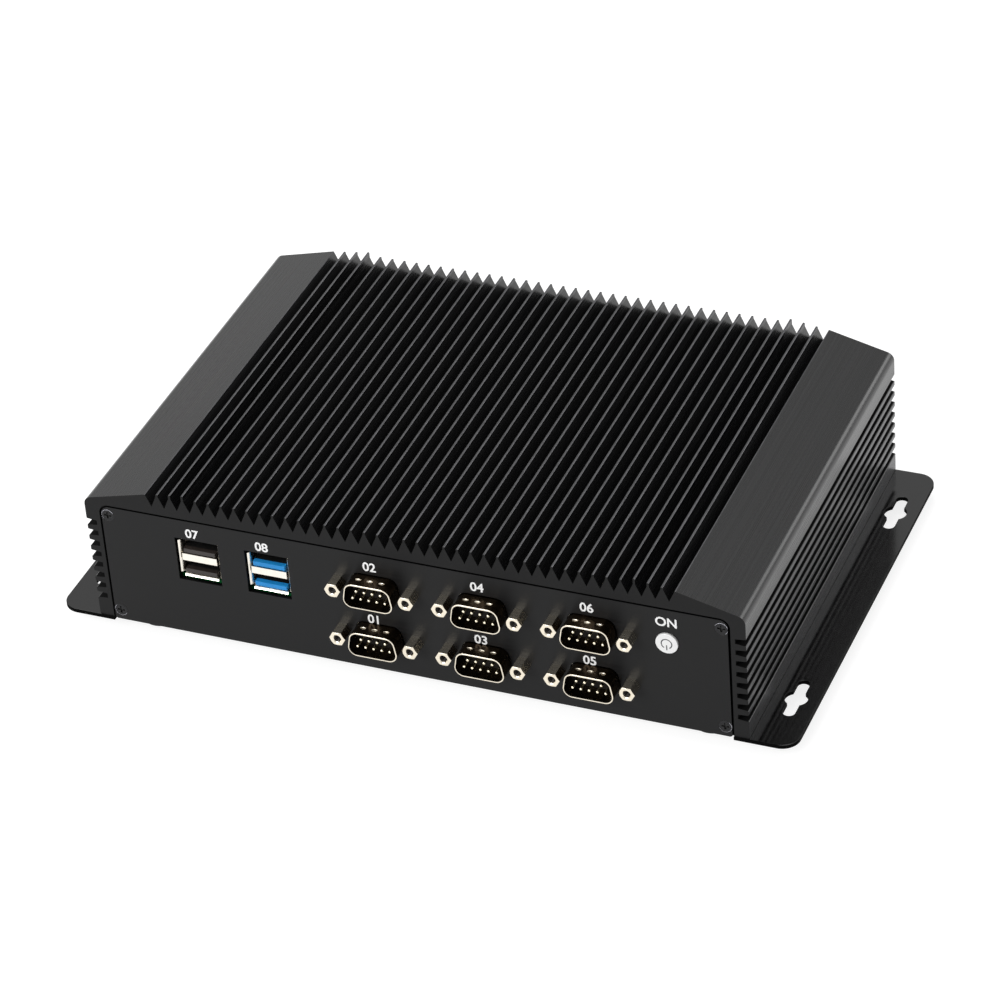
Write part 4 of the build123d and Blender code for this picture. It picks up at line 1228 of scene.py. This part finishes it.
class PC_OT_studio(bpy.types.Operator):
    """Set up the pale floor, the soft lights and the camera"""

    bl_idname = "pc.studio"
    bl_label = "Studio"

    def execute(self, context):
        studio = context.scene.pc_studio
        context.scene.view_settings.view_transform = "Standard"
        self.lay_floor(studio)
        self.light_world(context, studio)
        for name, (power, size, place) in LIGHTS.items():
            self.hang_light(name, getattr(studio, power), size, Vector(place))
        self.place_camera(context, studio)
        return {"FINISHED"}

    def seen_directly(self, tree):
        """One where the camera looks or a gloss or a clear surface shows it, and otherwise nought."""
        path = add_node(tree, "ShaderNodeLightPath")
        gloss = add_node(tree, "ShaderNodeMath", operation="MAXIMUM")
        tree.links.new(path.outputs["Is Camera Ray"], gloss.inputs[0])
        tree.links.new(path.outputs["Is Glossy Ray"], gloss.inputs[1])
        seen = add_node(tree, "ShaderNodeMath", operation="MAXIMUM")
        tree.links.new(gloss.outputs["Value"], seen.inputs[0])
        tree.links.new(path.outputs["Is Transmission Ray"], seen.inputs[1])
        return seen.outputs["Value"]

    def lay_floor(self, studio):
        """A pale floor that takes the shadow and glows where it is seen."""
        bpy.ops.object.select_all(action="DESELECT")
        bpy.ops.mesh.primitive_plane_add(size=FLOOR_SIZE, location=(0, 0, 0))
        floor = new_piece("studio_floor")
        material, tree, shader = new_finish("pale_floor", studio.floor, 0.9, {"Specular IOR Level": 0.0})
        glow = add_node(tree, "ShaderNodeMath", operation="MULTIPLY")
        tree.links.new(self.seen_directly(tree), glow.inputs[0])
        glow.inputs[1].default_value = studio.floor_glow
        shader.inputs["Emission Color"].default_value = (1, 1, 1, 1)
        tree.links.new(glow.outputs["Value"], shader.inputs["Emission Strength"])
        floor.data.materials.append(material)

    def light_world(self, context, studio):
        """Even light from all round, white to the camera, and in gloss dimmer overhead than low down."""
        world = bpy.data.worlds.new("studio")
        context.scene.world = world
        world.use_nodes = True
        tree = world.node_tree
        tree.nodes.clear()
        way = add_node(tree, "ShaderNodeTexCoord")
        height = add_node(tree, "ShaderNodeSeparateXYZ", {"Vector": way.outputs["Generated"]})
        overhead = add_node(tree, "ShaderNodeMapRange", {
            "Value": height.outputs["Z"], "From Min": studio.horizon, "From Max": studio.zenith,
            "To Min": 1.0, "To Max": studio.overhead})
        path = add_node(tree, "ShaderNodeLightPath")
        white = add_node(tree, "ShaderNodeMath", operation="MAXIMUM")
        tree.links.new(path.outputs["Is Camera Ray"], white.inputs[0])
        tree.links.new(overhead.outputs["Result"], white.inputs[1])
        level = add_node(tree, "ShaderNodeMapRange", {
            "Value": self.seen_directly(tree), "To Min": studio.ambient, "To Max": white.outputs["Value"]})
        sky = add_node(tree, "ShaderNodeBackground",
                       {"Color": (1, 1, 1, 1), "Strength": level.outputs["Result"]})
        add_node(tree, "ShaderNodeOutputWorld", {"Surface": sky.outputs["Background"]})

    def hang_light(self, name, power, size, place):
        """A square soft light that points at the computer."""
        lamp = bpy.data.lights.new(name, "AREA")
        lamp.energy = power
        lamp.shape = "SQUARE"
        lamp.size = size
        light = bpy.data.objects.new(name, lamp)
        light.location = place
        light.rotation_euler = (-place).to_track_quat("-Z", "Y").to_euler()
        bpy.context.scene.collection.objects.link(light)

    def place_camera(self, context, studio):
        """The camera at the photograph's place and angle."""
        turn, rise, roll = studio.azimuth, studio.elevation, studio.roll
        back = Vector((math.sin(turn) * math.cos(rise), -math.cos(turn) * math.cos(rise), math.sin(rise)))
        right = Vector((math.cos(turn), math.sin(turn), 0))
        up = back.cross(right)
        rolled_right = math.cos(roll) * right + math.sin(roll) * up
        rolled_up = math.cos(roll) * up - math.sin(roll) * right
        camera = bpy.data.objects.new("photo_camera", bpy.data.cameras.new("photo_camera"))
        camera.data.lens = studio.lens
        camera.data.sensor_width = studio.film_width
        axes = Matrix((rolled_right, rolled_up, back)).transposed()
        camera.matrix_world = Matrix.Translation(studio.place) @ axes.to_4x4()
        context.scene.collection.objects.link(camera)
        context.scene.camera = camera


OPERATORS = (
    PC_OT_housing, PC_OT_panels, PC_OT_base_plate, PC_OT_feet, PC_OT_screws, PC_OT_serial_ports,
    PC_OT_jackscrews, PC_OT_usb_ports, PC_OT_power_button, PC_OT_rear_ports, PC_OT_printing,
    PC_OT_inside, PC_OT_studio,
)
SETTINGS = {
    "pc_case": CaseSettings, "pc_panel": PanelSettings, "pc_plate": PlateSettings,
    "pc_small": SmallPartSettings, "pc_ports": PortSettings, "pc_print": PrintSettings,
    "pc_inside": InsideSettings, "pc_studio": StudioSettings,
}


class PC_PT_sidebar(bpy.types.Panel):
    """Lists the steps and their settings"""

    bl_idname = "PC_PT_sidebar"
    bl_label = "Industrial PC"
    bl_space_type = "VIEW_3D"
    bl_region_type = "UI"
    bl_category = "Industrial PC"

    def draw(self, context):
        for step in OPERATORS:
            self.layout.operator(step.bl_idname)
        for name in SETTINGS:
            group = getattr(context.scene, name)
            box = self.layout.box()
            for setting in group.__annotations__:
                box.prop(group, setting)


def register():
    for name, group in SETTINGS.items():
        bpy.utils.register_class(group)
        setattr(bpy.types.Scene, name, bpy.props.PointerProperty(type=group))
    for step in OPERATORS:
        bpy.utils.register_class(step)
    bpy.utils.register_class(PC_PT_sidebar)


def unregister():
    bpy.utils.unregister_class(PC_PT_sidebar)
    for step in reversed(OPERATORS):
        bpy.utils.unregister_class(step)
    for name, group in SETTINGS.items():
        delattr(bpy.types.Scene, name)
        bpy.utils.unregister_class(group)


def main():
    register()
    for step in OPERATORS:
        category, name = step.bl_idname.split(".")
        getattr(getattr(bpy.ops, category), name)()


if __name__ == "__main__":
    main()
